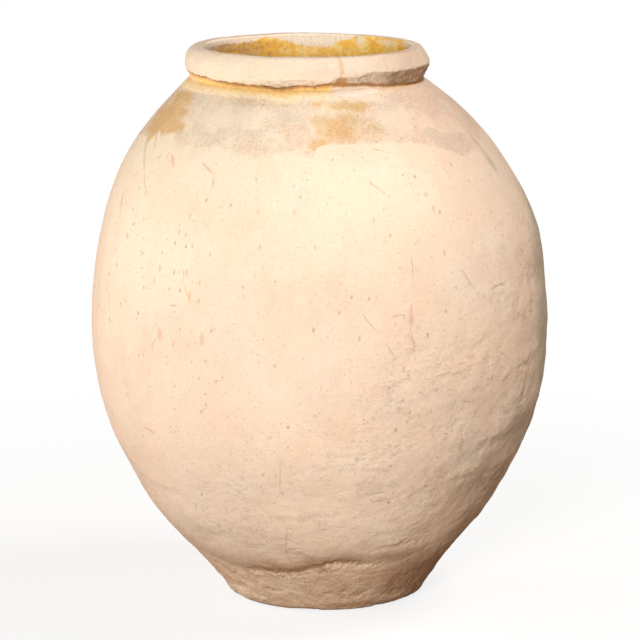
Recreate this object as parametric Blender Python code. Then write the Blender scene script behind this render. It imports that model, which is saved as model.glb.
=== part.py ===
"""Large terracotta oil jar, built up in clay courses, with a rim collar and a yellow glaze lining.

The jar stands on the ground plane with its belly centred on the Z axis. The front, where the glaze
ran down the rim, faces -Y. All sizes are in metres.

A turned piece is an outline of (radius, height) points, spun about the Z axis. The wall has one
outer outline, and every course, joint and glaze skin is placed on it by height, depth into the wall
and distance along the wall. After spinning, the neck leans a little to -X and the foot sits a little
to +X, as on a jar that moved while it dried.
"""

import math

import bmesh
import bpy
import numpy as np
from mathutils import Matrix

# Overall sizes
JAR_HEIGHT = 0.800
GIRTH_RADIUS = 0.331
GIRTH_HEIGHT = 0.385
FOOT_RADIUS = 0.1495
NECK_RADIUS = 0.168
WALL = 0.020

# Rim collar, measured on its section
COLLAR_HEIGHT = 0.044
COLLAR_THICKNESS = 0.029
COLLAR_OVERHANG = 0.008
COLLAR_OUTER_ROUND = 0.016
COLLAR_INNER_ROUND = 0.008
COLLAR_UNDERCUT_ANGLE = math.radians(-50)

# Floor slab and the step that locates the foot course on it
SLAB_EDGE_HEIGHT = 0.014
SLAB_EDGE_ROUND = 0.019
SLAB_STEP_HEIGHT = 0.008
SLAB_STEP_CLEARANCE = 0.0005

# Luted joints between courses: a ridge on the lower course fits a groove in the upper one
RIDGE_HEIGHT = 0.006
SLIP_JOINT = 0.0004

# Groove around the outside of the lowest joint
FOOT_GROOVE_DEPTH = 0.003
FOOT_GROOVE_WIDTH = 0.008

# Glaze: the lining, the band under the collar and the run on the rim
GLAZE = 0.0008
GLAZE_LIFT = 0.0004
BAND_WIDTH = 0.017
BAND_FACETS = 40
RUN_ANGLE = math.radians(-74)
RUN_WIDTH = 0.008
RUN_TIP_WIDTH = 0.004

# How the jar moved while it dried
NECK_LEAN = 0.018
LEAN_LENGTH = 0.220
LEAN_POWER = 1.2
FOOT_SHIFT = 0.007
FOOT_SHIFT_HEIGHT = 0.130

# Outer outline between foot and girth: (share of the rise, share of the widening)
LOWER_OUTLINE_SHARES = (
    (0.00, 0.00),
    (0.13, 0.193),
    (0.21, 0.332),
    (0.32, 0.521),
    (0.45, 0.679),
    (0.61, 0.837),
    (0.78, 0.944),
    (1.00, 1.00),
)
# Outer outline between girth and neck: (share of the rise, share of the narrowing)
UPPER_OUTLINE_SHARES = (
    (0.26, 0.035),
    (0.42, 0.10),
    (0.58, 0.225),
    (0.71, 0.385),
    (0.82, 0.58),
    (0.91, 0.778),
    (1.00, 1.00),
)
# Where the courses begin and end, as shares of the height from the slab's edge to the neck
COURSE_END_SHARES = (0.0, 0.085, 0.30, 0.555, 0.79, 1.0)
COURSE_NAMES = (
    "foot_course",
    "lower_belly_course",
    "girth_course",
    "upper_belly_course",
    "shoulder_course",
)

# Facets
TURN_FACETS = 64
OUTER_ROW_COUNTS = (2, 4, 4, 3, 3)
INNER_ROW_COUNTS = (1, 2, 2, 2, 2)
SLAB_EDGE_ROWS = 4
COLLAR_OUTER_ROWS = 6
COLLAR_INNER_ROWS = 3

# Sizes that follow from those above
NECK_HEIGHT = JAR_HEIGHT - COLLAR_HEIGHT
COLLAR_RADIUS = NECK_RADIUS + COLLAR_OVERHANG
MOUTH_RADIUS = COLLAR_RADIUS - COLLAR_THICKNESS
FLOOR_THICKNESS = SLAB_EDGE_HEIGHT + SLAB_STEP_HEIGHT
WALL_RISE = NECK_HEIGHT - SLAB_EDGE_HEIGHT
COURSE_HEIGHTS = [SLAB_EDGE_HEIGHT + share * WALL_RISE for share in COURSE_END_SHARES]
FACET_ANGLE = math.tau / TURN_FACETS
# The run is centred on a facet, so every ring has its first facet edge half a facet from it
FIRST_EDGE_ANGLE = RUN_ANGLE - FACET_ANGLE / 2

TERRACOTTA = (0.83, 0.62, 0.45, 1.0)
RIM_CLAY = (0.86, 0.67, 0.51, 1.0)
SHADED_CLAY = (0.68, 0.47, 0.32, 1.0)
STAINED_CLAY = (0.70, 0.55, 0.41, 1.0)
COURSE_COLOURS = (SHADED_CLAY, TERRACOTTA, TERRACOTTA, TERRACOTTA, STAINED_CLAY)
YELLOW_GLAZE = (0.78, 0.48, 0.14, 1.0)
PALE_GLAZE = (0.86, 0.62, 0.30, 1.0)
CLAY_ROUGHNESS = 0.9
GLAZE_ROUGHNESS = 0.3


def outline_stations():
    """The stations of the outer outline as (heights, radii), from the slab's edge up to the neck."""
    lower_rise = GIRTH_HEIGHT - SLAB_EDGE_HEIGHT
    lower = [
        (SLAB_EDGE_HEIGHT + rise * lower_rise, FOOT_RADIUS + widen * (GIRTH_RADIUS - FOOT_RADIUS))
        for rise, widen in LOWER_OUTLINE_SHARES
    ]
    upper_rise = NECK_HEIGHT - GIRTH_HEIGHT
    upper = [
        (GIRTH_HEIGHT + rise * upper_rise, GIRTH_RADIUS - narrow * (GIRTH_RADIUS - NECK_RADIUS))
        for rise, narrow in UPPER_OUTLINE_SHARES
    ]
    heights, radii = zip(*(lower + upper), strict=True)
    return np.array(heights), np.array(radii)


def spline_bends(heights, radii):
    """Second derivatives of the natural cubic spline through the stations."""
    count = len(heights)
    spans = np.diff(heights)
    slopes = np.diff(radii) / spans
    system = np.eye(count)
    right = np.zeros(count)
    for i in range(1, count - 1):
        system[i, i - 1 : i + 2] = spans[i - 1], 2 * (spans[i - 1] + spans[i]), spans[i]
        right[i] = 6 * (slopes[i] - slopes[i - 1])
    return np.linalg.solve(system, right)


STATION_HEIGHTS, STATION_RADII = outline_stations()
STATION_BENDS = spline_bends(STATION_HEIGHTS, STATION_RADII)


def outer_radius_and_slope(height):
    """Radius of the jar's outer surface at a height, and how fast it grows with height."""
    i = int(np.clip(np.searchsorted(STATION_HEIGHTS, height) - 1, 0, len(STATION_HEIGHTS) - 2))
    span = STATION_HEIGHTS[i + 1] - STATION_HEIGHTS[i]
    a = (STATION_HEIGHTS[i + 1] - height) / span
    b = 1 - a
    low, high = STATION_BENDS[i], STATION_BENDS[i + 1]
    radius = a * STATION_RADII[i] + b * STATION_RADII[i + 1]
    radius += ((a**3 - a) * low + (b**3 - b) * high) * span**2 / 6
    slope = (STATION_RADII[i + 1] - STATION_RADII[i]) / span
    slope += ((3 * b**2 - 1) * high - (3 * a**2 - 1) * low) * span / 6
    return radius, slope


def wall_point(height, depth=0.0, along=0.0):
    """(radius, height) of a point this deep inside the outer surface, moved along the wall."""
    radius, slope = outer_radius_and_slope(height)
    length = math.hypot(1, slope)
    out_r, out_z = 1 / length, -slope / length
    up_r, up_z = slope / length, 1 / length
    return radius - depth * out_r + along * up_r, height - depth * out_z + along * up_z


def inner_corner(level):
    """(radius, height) where the wall's inner face, carried straight down, meets a level."""
    radius, height = wall_point(SLAB_EDGE_HEIGHT, WALL)
    slope = outer_radius_and_slope(SLAB_EDGE_HEIGHT)[1]
    return radius + (level - height) * slope, level


def arc(centre, half_width, half_height, start, end, rows):
    """Points on an elliptical arc in the section, from one angle to another, ends included."""
    return [
        (
            centre[0] + half_width * math.cos(start + (end - start) * i / rows),
            centre[1] + half_height * math.sin(start + (end - start) * i / rows),
        )
        for i in range(rows + 1)
    ]


def between(low, high, rows):
    """Evenly spaced values strictly between two ends."""
    return [low + (high - low) * i / rows for i in range(1, rows)]


def offset_path(path, distance):
    """The path moved to its left by a distance, with mitred corners."""
    points = [np.array(point) for point in path]
    directions = [(b - a) / np.linalg.norm(b - a) for a, b in zip(points, points[1:])]
    lefts = [np.array((-d[1], d[0])) for d in directions]
    moved = [points[0] + distance * lefts[0]]
    for point, before, after in zip(points[1:-1], lefts, lefts[1:]):
        mitre = (before + after) / (1 + before @ after)
        moved.append(point + distance * mitre)
    moved.append(points[-1] + distance * lefts[-1])
    return [tuple(point) for point in moved]


def skin_outline(path):
    """Section of a glaze skin that lies on the left of a path."""
    return offset_path(path, GLAZE_LIFT) + offset_path(path, GLAZE_LIFT + GLAZE)[::-1]


def shift_at(height):
    """How far the jar's centre line lies from the Z axis, along X, at a height."""
    rise = 1 - (NECK_HEIGHT - min(height, NECK_HEIGHT)) / LEAN_LENGTH
    drop = min(max(1 - height / FOOT_SHIFT_HEIGHT, 0.0), 1.0)
    return FOOT_SHIFT * drop * drop * (3 - 2 * drop) - NECK_LEAN * max(rise, 0.0) ** LEAN_POWER


def one_colour(name, colour, roughness):
    """A clay or glaze material of one base colour."""
    material = bpy.data.materials.new(name)
    material.use_nodes = True
    shader = material.node_tree.nodes["Principled BSDF"]
    shader.inputs["Base Color"].default_value = colour
    shader.inputs["Roughness"].default_value = roughness
    shader.inputs["Metallic"].default_value = 0.0
    return material


def add_piece(name, bm, material):
    """Shifts a finished solid with the jar's centre line, shades its rounds smooth, and adds it."""
    bmesh.ops.recalc_face_normals(bm, faces=bm.faces)
    for vert in bm.verts:
        vert.co.x += shift_at(vert.co.z)
    mesh = bpy.data.meshes.new(name)
    bm.to_mesh(mesh)
    bm.free()
    mesh.shade_smooth()
    mesh.set_sharp_from_angle(angle=math.radians(35))
    mesh.materials.append(material)
    piece = bpy.data.objects.new(name, mesh)
    bpy.context.scene.collection.objects.link(piece)


def turned_ring(outline):
    """A closed outline spun right round the Z axis. Where it touches the axis, it closes there."""
    bm = bmesh.new()
    verts = [bm.verts.new((r, 0, z)) for r, z in outline]
    edges = [bm.edges.new(pair) for pair in zip(verts, verts[1:] + verts[:1], strict=True)]
    turn_to_first_edge(bm)
    bmesh.ops.spin(
        bm,
        geom=verts + edges,
        cent=(0, 0, 0),
        axis=(0, 0, 1),
        angle=math.tau,
        steps=TURN_FACETS,
        use_merge=True,
    )
    bmesh.ops.remove_doubles(bm, verts=bm.verts, dist=SLIP_JOINT / 100)
    on_axis = [edge for edge in bm.edges if not edge.link_faces]
    bmesh.ops.delete(bm, geom=on_axis, context="EDGES")
    return bm


def turned_part(outline, facets):
    """A closed outline spun part of the way round the Z axis, clockwise from the first facet edge."""
    bm = bmesh.new()
    face = bm.faces.new([bm.verts.new((r, 0, z)) for r, z in outline])
    turn_to_first_edge(bm)
    geometry = list(face.verts) + list(face.edges) + [face]
    turn = -facets * FACET_ANGLE
    bmesh.ops.spin(bm, geom=geometry, cent=(0, 0, 0), axis=(0, 0, 1), angle=turn, steps=facets)
    return bm


def turn_to_first_edge(bm):
    """Turns an outline drawn in the XZ plane to the rings' first facet edge."""
    bmesh.ops.rotate(bm, verts=bm.verts, cent=(0, 0, 0), matrix=Matrix.Rotation(FIRST_EDGE_ANGLE, 3, "Z"))


def floor_slab():
    """The clay floor, with a worn round edge and a step that the foot course is set around."""
    centre = (FOOT_RADIUS - SLAB_EDGE_ROUND, SLAB_EDGE_HEIGHT)
    edge = arc(centre, SLAB_EDGE_ROUND, SLAB_EDGE_HEIGHT, math.radians(-90), 0, SLAB_EDGE_ROWS)
    step_radius = inner_corner(SLAB_EDGE_HEIGHT)[0] - SLAB_STEP_CLEARANCE
    step = [(step_radius, SLAB_EDGE_HEIGHT), (step_radius, FLOOR_THICKNESS), (0, FLOOR_THICKNESS)]
    material = one_colour("floor_clay", SHADED_CLAY, CLAY_ROUGHNESS)
    add_piece("floor_slab", turned_ring([(0, 0), *edge, *step]), material)


def joint_face(course, side):
    """The joint on top of a course, from outside to inside, seen from under it (-1) or above it (1)."""
    height = COURSE_HEIGHTS[course + 1]
    along = SLIP_JOINT * max(side, 0)
    corner = [wall_point(height, 0, along)]
    if course == 0:
        groove_edge = wall_point(height, 0, side * FOOT_GROOVE_WIDTH / 2)
        corner = [groove_edge, wall_point(height, FOOT_GROOVE_DEPTH, along)]
    return [*corner, wall_point(height, WALL / 2, along + RIDGE_HEIGHT), wall_point(height, WALL, along)]


def outer_levels(course):
    """Heights of the facet rows on a course's outside, between its ends."""
    low, high = COURSE_HEIGHTS[course], COURSE_HEIGHTS[course + 1]
    if COURSE_NAMES[course] == COURSE_NAMES[-1]:
        return [*between(low, band_bottom(), OUTER_ROW_COUNTS[course]), band_bottom()]
    return between(low, high, OUTER_ROW_COUNTS[course])


def inner_levels(course):
    """Heights on the outer outline that the facet rows on a course's inside belong to."""
    return between(COURSE_HEIGHTS[course], COURSE_HEIGHTS[course + 1], INNER_ROW_COUNTS[course])


def wall_course(course):
    """One ring of the wall between two joints."""
    if course == 0:
        seat = SLAB_EDGE_HEIGHT + SLIP_JOINT
        bottom = [(FOOT_RADIUS, seat), inner_corner(seat)]
    else:
        bottom = joint_face(course - 1, 1)
    outer = [wall_point(height) for height in outer_levels(course)]
    inner = [wall_point(height, WALL) for height in inner_levels(course)]
    outline = [*outer, *joint_face(course, -1), *reversed(inner), *reversed(bottom)]
    name = COURSE_NAMES[course]
    material = one_colour(name + "_clay", COURSE_COLOURS[course], CLAY_ROUGHNESS)
    add_piece(name, turned_ring(outline), material)


def collar_outside():
    """The collar's outer face in the section, from its underside up to the flat land on top."""
    half_height = COLLAR_HEIGHT / 2
    centre = (COLLAR_RADIUS - COLLAR_OUTER_ROUND, JAR_HEIGHT - half_height)
    start, end = COLLAR_UNDERCUT_ANGLE, math.radians(90)
    return arc(centre, COLLAR_OUTER_ROUND, half_height, start, end, COLLAR_OUTER_ROWS)


def collar_inside():
    """The collar's inner face in the section, from the flat land down to its middle height."""
    half_height = COLLAR_HEIGHT / 2
    centre = (MOUTH_RADIUS + COLLAR_INNER_ROUND, JAR_HEIGHT - half_height)
    start, end = math.radians(90), math.radians(180)
    return arc(centre, COLLAR_INNER_ROUND, half_height, start, end, COLLAR_INNER_ROWS)


def rim_collar():
    """The thick rolled rim, luted onto the top of the neck."""
    seat = joint_face(len(COURSE_NAMES) - 1, 1)
    outline = [*collar_outside(), *collar_inside(), *reversed(seat)]
    add_piece("rim_collar", turned_ring(outline), one_colour("rim_clay", RIM_CLAY, CLAY_ROUGHNESS))


def glaze_lining():
    """The glaze skin that makes the jar hold oil, over the floor and the inside wall, into the mouth."""
    levels = []
    for course in range(len(COURSE_NAMES)):
        levels += [*inner_levels(course), COURSE_HEIGHTS[course + 1]]
    wall = [wall_point(height, WALL) for height in levels[:-1]]
    collar_foot = joint_face(len(COURSE_NAMES) - 1, 1)[-1]
    path = [(0, FLOOR_THICKNESS), inner_corner(FLOOR_THICKNESS), *wall, collar_foot, collar_inside()[-1]]
    material = one_colour("lining_glaze", YELLOW_GLAZE, GLAZE_ROUGHNESS)
    add_piece("glaze_lining", turned_ring(skin_outline(path)), material)


def band_bottom():
    """Height of the lower edge of the glaze band, a band's width down the wall from the neck."""
    slope = outer_radius_and_slope(NECK_HEIGHT)[1]
    return NECK_HEIGHT - BAND_WIDTH / math.hypot(1, slope)


def neck_glaze_band():
    """The glaze that ran over the neck and settled in a band under the collar, part of the way round."""
    path = [wall_point(NECK_HEIGHT), wall_point(band_bottom())]
    material = one_colour("band_glaze", PALE_GLAZE, GLAZE_ROUGHNESS)
    add_piece("neck_glaze_band", turned_part(skin_outline(path), BAND_FACETS), material)


def rim_glaze_run():
    """A short run of glaze down the outside of the collar, narrow at its tip, on one facet."""
    path = collar_outside()[COLLAR_OUTER_ROWS // 3 : COLLAR_OUTER_ROWS][::-1]
    under = offset_path(path, GLAZE_LIFT)
    over = offset_path(path, GLAZE_LIFT + GLAZE)
    half_widths = np.linspace(RUN_WIDTH / 2, RUN_TIP_WIDTH / 2, len(path))
    facet_share = math.cos(FACET_ANGLE / 2)
    bm = bmesh.new()
    sections = []
    for low, high, half in zip(under, over, half_widths, strict=True):
        corners = [(low, -half), (low, half), (high, half), (high, -half)]
        sections.append([bm.verts.new((r * facet_share, side, z)) for (r, z), side in corners])
    for upper, lower in zip(sections, sections[1:]):
        for i in range(len(upper)):
            bm.faces.new((upper[i - 1], upper[i], lower[i], lower[i - 1]))
    bm.faces.new(sections[0])
    bm.faces.new(sections[-1])
    bmesh.ops.rotate(bm, verts=bm.verts, cent=(0, 0, 0), matrix=Matrix.Rotation(RUN_ANGLE, 3, "Z"))
    add_piece("rim_glaze_run", bm, one_colour("run_glaze", PALE_GLAZE, GLAZE_ROUGHNESS))


def main():
    for old in list(bpy.data.objects):
        bpy.data.objects.remove(old)
    floor_slab()
    for course in range(len(COURSE_NAMES)):
        wall_course(course)
    rim_collar()
    glaze_lining()
    neck_glaze_band()
    rim_glaze_run()


main()
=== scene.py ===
"""Looks of a large weathered terracotta oil jar with a yellow-glazed mouth.

The outside is one surface on a grid of outline rows and azimuths: the turned outline, moved in and
out by hand-made relief. Each clay course is a closed ring cut from that surface, and neighbours share
its points and normals, so the joints that the potter smoothed over don't show. Azimuth 0 is +X and
-90 degrees is the front, -Y. Sizes are in metres and azimuths in degrees.
"""

import math

import bpy
import numpy as np
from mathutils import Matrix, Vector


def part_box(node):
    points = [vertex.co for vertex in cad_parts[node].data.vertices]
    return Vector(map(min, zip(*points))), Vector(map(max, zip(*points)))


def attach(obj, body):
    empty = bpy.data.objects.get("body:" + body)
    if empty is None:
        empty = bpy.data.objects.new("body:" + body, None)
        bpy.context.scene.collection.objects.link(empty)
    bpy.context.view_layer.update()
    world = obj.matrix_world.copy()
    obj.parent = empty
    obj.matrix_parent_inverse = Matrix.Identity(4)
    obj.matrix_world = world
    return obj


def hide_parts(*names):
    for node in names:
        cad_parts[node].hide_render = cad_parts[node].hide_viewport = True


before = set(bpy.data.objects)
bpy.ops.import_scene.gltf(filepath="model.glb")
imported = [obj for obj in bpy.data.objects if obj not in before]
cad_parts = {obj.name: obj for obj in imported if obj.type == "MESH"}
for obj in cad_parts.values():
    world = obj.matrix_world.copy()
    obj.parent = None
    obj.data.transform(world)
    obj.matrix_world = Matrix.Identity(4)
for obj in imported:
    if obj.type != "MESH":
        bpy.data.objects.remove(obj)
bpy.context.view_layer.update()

# Sizes that the frame gives
JAR_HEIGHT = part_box("rim_collar")[1][2]
GIRTH_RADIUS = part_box("girth_course")[1][1]
COLLAR_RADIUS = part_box("rim_collar")[1][1]
FOOT_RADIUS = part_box("floor_slab")[1][1]
FLOOR_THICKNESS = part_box("floor_slab")[1][2]

# Sizes of the construction that the surface follows
GIRTH_HEIGHT = 0.385
NECK_RADIUS = 0.168
WALL = 0.02
COLLAR_HEIGHT = 0.044
COLLAR_THICKNESS = 0.029
COLLAR_OUTER_ROUND = 0.016
COLLAR_LOWER_FULLNESS = 0.82
COLLAR_INNER_ROUND = 0.0035
SLAB_EDGE_HEIGHT = 0.014
SLAB_EDGE_ROUND = 0.0245
SLAB_EDGE_LOW = 0.0009
NECK_LEAN = 0.018
LEAN_LENGTH = 0.22
LEAN_POWER = 1.2
FOOT_SHIFT = 0.007
FOOT_SHIFT_HEIGHT = 0.13
NECK_HEIGHT = JAR_HEIGHT - COLLAR_HEIGHT
MOUTH_RADIUS = COLLAR_RADIUS - COLLAR_THICKNESS
COLLAR_MIDDLE = JAR_HEIGHT - COLLAR_HEIGHT / 2

# Outer outline: (share of the rise, share of the widening or narrowing)
LOWER_OUTLINE_SHARES = (
    (0, 0), (0.13, 0.193), (0.21, 0.332), (0.32, 0.521), (0.45, 0.679), (0.61, 0.837), (0.78, 0.944),
    (1, 1),
)
UPPER_OUTLINE_SHARES = (
    (0.26, 0.035), (0.42, 0.1), (0.58, 0.225), (0.71, 0.385), (0.82, 0.58), (0.91, 0.778), (1, 1),
)
COURSE_END_SHARES = (0, 0.085, 0.3, 0.555, 0.79, 1)
COURSES = ("foot_course", "lower_belly_course", "girth_course", "upper_belly_course", "shoulder_course")
COURSE_SLOTS = ("foot_clay", "belly_clay", "belly_clay", "belly_clay", "shoulder_clay")

# Grid
COLUMNS = 648
ROW_STEP = 0.0026
FOOT_ROW_STEP = 0.0016
COLLAR_ROW_STEP = 0.0011
SEAM_AZIMUTH = 90.0


def smoothstep(low, high, value):
    """0 at low, 1 at high, smooth between. Low may be the larger."""
    share = np.clip((value - low) / (high - low), 0.0, 1.0)
    return share * share * (3 - 2 * share)


def hump(value):
    """1 at 0, fading smoothly to either side."""
    return np.exp(-(value**2))


def wrapped(degrees):
    """The same angle from -180 to 180 degrees."""
    return (degrees + 180) % 360 - 180


def near_azimuth(azimuth, centre, half_width):
    """1 at an azimuth, fading smoothly to 0 at a half width to either side."""
    return smoothstep(half_width, 0.0, np.abs(wrapped(azimuth - centre)))


def around(azimuth, table):
    """Reads a table of (azimuth, value) round the jar."""
    places, values = zip(*table, strict=True)
    return np.interp(azimuth, places, values, period=360)


# Noise: gradients at the corners of cubes, picked by a shuffled table
CODES = 256
RANDOM = np.random.default_rng(11)
SHUFFLE = RANDOM.permutation(CODES)
GRADIENTS = RANDOM.normal(size=(CODES, 3))
GRADIENTS /= np.linalg.norm(GRADIENTS, axis=1, keepdims=True)
SEED_SHIFT = 17.31
NOISE_GAIN = 1.7


def noise(points, size, seed):
    """Smooth noise from about -1 to 1 whose humps lie about a size apart: a length, or one each way."""
    places = points / np.asarray(size) + seed * SEED_SHIFT
    cells = np.floor(places).astype(int)
    inside = places - cells
    fade = inside * inside * inside * (inside * (inside * 6 - 15) + 10)
    total = np.zeros(points.shape[:-1])
    for corner in np.ndindex(2, 2, 2):
        code = 0
        for axis, bit in enumerate(corner):
            code = SHUFFLE[(code + cells[..., axis] + bit) % CODES]
        pull = (GRADIENTS[code] * (inside - np.array(corner))).sum(axis=-1)
        x, y, z = (fade[..., axis] if bit else 1 - fade[..., axis] for axis, bit in enumerate(corner))
        total += x * y * z * pull
    return total * NOISE_GAIN


def layered(points, layers, shown):
    """The sum of some noises, each given as (depth, size, seed, where it shows)."""
    total = np.zeros(points.shape[:-1])
    for depth, size, seed, where in layers:
        total += depth * shown[where] * noise(points, size, seed)
    return total


# The turned outline


def outline_stations():
    """Stations of the outer outline as (heights, radii), from the slab's edge up to the neck."""
    heights, radii = [], []
    for rise, widen in LOWER_OUTLINE_SHARES:
        heights.append(SLAB_EDGE_HEIGHT + rise * (GIRTH_HEIGHT - SLAB_EDGE_HEIGHT))
        radii.append(FOOT_RADIUS + widen * (GIRTH_RADIUS - FOOT_RADIUS))
    for rise, narrow in UPPER_OUTLINE_SHARES:
        heights.append(GIRTH_HEIGHT + rise * (NECK_HEIGHT - GIRTH_HEIGHT))
        radii.append(GIRTH_RADIUS - narrow * (GIRTH_RADIUS - NECK_RADIUS))
    return np.array(heights), np.array(radii)


def spline_bends(heights, radii):
    """Second derivatives of the natural cubic spline through the stations."""
    count = len(heights)
    spans = np.diff(heights)
    slopes = np.diff(radii) / spans
    system = np.eye(count)
    right = np.zeros(count)
    for i in range(1, count - 1):
        system[i, i - 1 : i + 2] = spans[i - 1], 2 * (spans[i - 1] + spans[i]), spans[i]
        right[i] = 6 * (slopes[i] - slopes[i - 1])
    return np.linalg.solve(system, right)


STATION_HEIGHTS, STATION_RADII = outline_stations()
STATION_BENDS = spline_bends(STATION_HEIGHTS, STATION_RADII)


def wall_radius(height):
    """Radius of the turned outline at each height."""
    i = np.clip(np.searchsorted(STATION_HEIGHTS, height) - 1, 0, len(STATION_HEIGHTS) - 2)
    span = STATION_HEIGHTS[i + 1] - STATION_HEIGHTS[i]
    a = (STATION_HEIGHTS[i + 1] - height) / span
    b = 1 - a
    bends = (a**3 - a) * STATION_BENDS[i] + (b**3 - b) * STATION_BENDS[i + 1]
    return a * STATION_RADII[i] + b * STATION_RADII[i + 1] + bends * span**2 / 6


def centre_shift(height):
    """How far the jar's centre line lies from the Z axis, along X, at each height."""
    rise = 1 - (NECK_HEIGHT - np.minimum(height, NECK_HEIGHT)) / LEAN_LENGTH
    drop = np.clip(1 - height / FOOT_SHIFT_HEIGHT, 0.0, 1.0)
    return FOOT_SHIFT * drop * drop * (3 - 2 * drop) - NECK_LEAN * np.maximum(rise, 0.0) ** LEAN_POWER


def respaced(path, step):
    """The same path of (radius, height) with its points an even step apart, ends kept."""
    path = np.asarray(path, float)
    along = np.concatenate([[0.0], np.cumsum(np.linalg.norm(np.diff(path, axis=0), axis=1))])
    count = max(int(round(along[-1] / step)), 2)
    places = np.linspace(0, along[-1], count + 1)
    return np.stack([np.interp(places, along, path[:, n]) for n in (0, 1)], axis=1)


def arc(centre, half_width, half_height, start, end, fullness=1.0, rows=40):
    """Points on an elliptical arc in the section, angles in degrees. A fullness under 1 squares it."""
    turn = np.radians(np.linspace(start, end, rows + 1))
    across = np.sign(np.cos(turn)) * np.abs(np.cos(turn)) ** fullness
    up = np.sign(np.sin(turn)) * np.abs(np.sin(turn)) ** fullness
    return np.stack([centre[0] + half_width * across, centre[1] + half_height * up], axis=1)


def section_normals(path):
    """Unit normals on the right of a path in the section."""
    ahead = np.gradient(path, axis=0)
    ahead /= np.linalg.norm(ahead, axis=1, keepdims=True)
    return np.stack([ahead[:, 1], -ahead[:, 0]], axis=1)


# The grid of the surface

AZIMUTHS = wrapped(SEAM_AZIMUTH + 360.0 * np.arange(COLUMNS) / COLUMNS)


def spun(path):
    """Points [row, column] of a path of (radius, height) spun about the jar's centre line."""
    turn = np.radians(AZIMUTHS)
    if path.ndim == 2:
        path = np.repeat(path[:, None, :], COLUMNS, axis=1)
    radius, height = path[..., 0], path[..., 1]
    x = radius * np.cos(turn) + centre_shift(height)
    return np.stack([x, radius * np.sin(turn), height], axis=-1)


def grid_normals(points):
    """Unit normals of a grid that is closed across its columns."""
    along = np.gradient(points, axis=0)
    across = np.roll(points, -1, axis=1) - np.roll(points, 1, axis=1)
    normals = np.cross(across, along)
    return normals / np.maximum(np.linalg.norm(normals, axis=-1, keepdims=True), 1e-12)


def blurred(field, steps):
    """A field on the grid, averaged with its neighbours, closed across its columns."""
    for _ in range(steps):
        field = (np.roll(field, 1, axis=1) + 2 * field + np.roll(field, -1, axis=1)) / 4
        padded = np.concatenate([field[:1], field, field[-1:]])
        field = (padded[:-2] + 2 * padded[1:-1] + padded[2:]) / 4
    return field


# The collar's lower lip: its height by azimuth, how far under it the neck is met, that radius, and rows
LIP_EDGE_HEIGHTS = (
    (-180, 0.766), (-166, 0.7664), (-145, 0.7654), (-139, 0.7626), (-123, 0.7612), (-112, 0.7605),
    (-108, 0.7594), (-105, 0.7578), (-101, 0.7588), (-97, 0.7608), (-93, 0.7626), (-86, 0.7622),
    (-79, 0.7643), (-76, 0.763), (-62, 0.7628), (-50, 0.7586), (-39, 0.7566), (-31, 0.7545), (-15, 0.7535),
    (5, 0.754), (30, 0.758), (60, 0.7615), (110, 0.762), (150, 0.765),
)
LIP_DROP = 0.0012
CREVICE_RADIUS = 0.1655
CREVICE_RADII = (
    (-180, 0.17), (-160, 0.1695), (-128, 0.1662), (-100, CREVICE_RADIUS), (60, CREVICE_RADIUS),
    (150, 0.168),
)
RISER_ROWS = 4

# Hand-made relief of the wall: sway, coils, lumps, knuckles, dimples, grit, and the foot's lumps and
# grain. Each is (depth, size of its humps, seed, where it shows)
WALL_LAYERS = (
    (0.0015, 0.2, 1, "everywhere"),
    (0.0012, (0.2, 0.2, 0.05), 2, "smoothed"),
    (0.0017, 0.062, 3, "smoothed"),
    (0.0006, (0.034, 0.034, 0.024), 4, "rough"),
    (0.0006, 0.019, 5, "smoothed"),
    (0.00025, 0.009, 6, "gritty"),
    (0.0004, (0.024, 0.024, 0.018), 7, "foot"),
    (0.00035, (0.0065, 0.0065, 0.0055), 49, "foot"),
)
SMOOTH_SHARE = 0.2
TEAR_DEPTH = 0.0005
TEAR_SIZE = (0.045, 0.045, 0.012)
OUTLINE_INSET = 0.0002
GIRTH_INSET = 0.001
GIRTH_INSET_HEIGHT = 0.11
GIRTH_LIMIT_ROUND = 0.0006
ROUGH_TOPS = ((-175, 0.3), (-125, 0.28), (-95, 0.33), (-70, 0.48), (0, 0.5), (120, 0.45))
FOOT_ROUGH_HEIGHT = 0.075
SLAB_NOTCH_DEPTH = 0.0004
SLAB_NOTCH_WIDTH = 0.0035
# The belly draws in to a ragged crease above the foot: its height and its share of the depth, by azimuth
CREASE_DEPTH = 0.0023
CREASE_LIP = 0.0105
CREASE_FADE = 0.01
CREASE_LINE_LIFT = 0.0008
CREASE_LINE_WIDTH = 0.0034
SECOND_LINE_DROP = 0.0085
SECOND_LINE_WIDTH = 0.0017
CRUMB_DEPTH = 0.0029
CRUMB_DROP = 0.003
CRUMB_SIZE = 0.005
CRUMB_REACH = 0.0075
CREASE_HEIGHTS = (
    (-165, 0.089), (-144, 0.079), (-135, 0.073), (-131.5, 0.0695), (-126, 0.069), (-120, 0.069),
    (-115, 0.0685), (-111, 0.0692), (-104, 0.0702), (-98, 0.0735), (-93.5, 0.08), (-88, 0.086),
    (-84, 0.0885), (-78.5, 0.089), (-71.5, 0.0865), (-61, 0.085), (-51, 0.086), (0, 0.08), (60, 0.068),
    (120, 0.078),
)
CREASE_SHARES = (
    (-165, 0.04), (-148, 0.1), (-136, 0.22), (-126, 0.4), (-116, 0.75), (-104, 1), (-84, 1.1), (-77, 0.75),
    (-66, 0.3), (-50, 0.1), (0, 0.1), (80, 0.7), (140, 0.4),
)
# The wall draws in to a crevice just under the collar
CREVICE_DEPTH = 0.0008
CREVICE_HEIGHT = 0.006
# On the right the shoulder sags a little where the collar was pressed down on it
SAG_DEPTH = 0.0048
SAG_AZIMUTH = -12
SAG_HALF_WIDTH = 62
SAG_HEIGHT = 0.045
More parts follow.
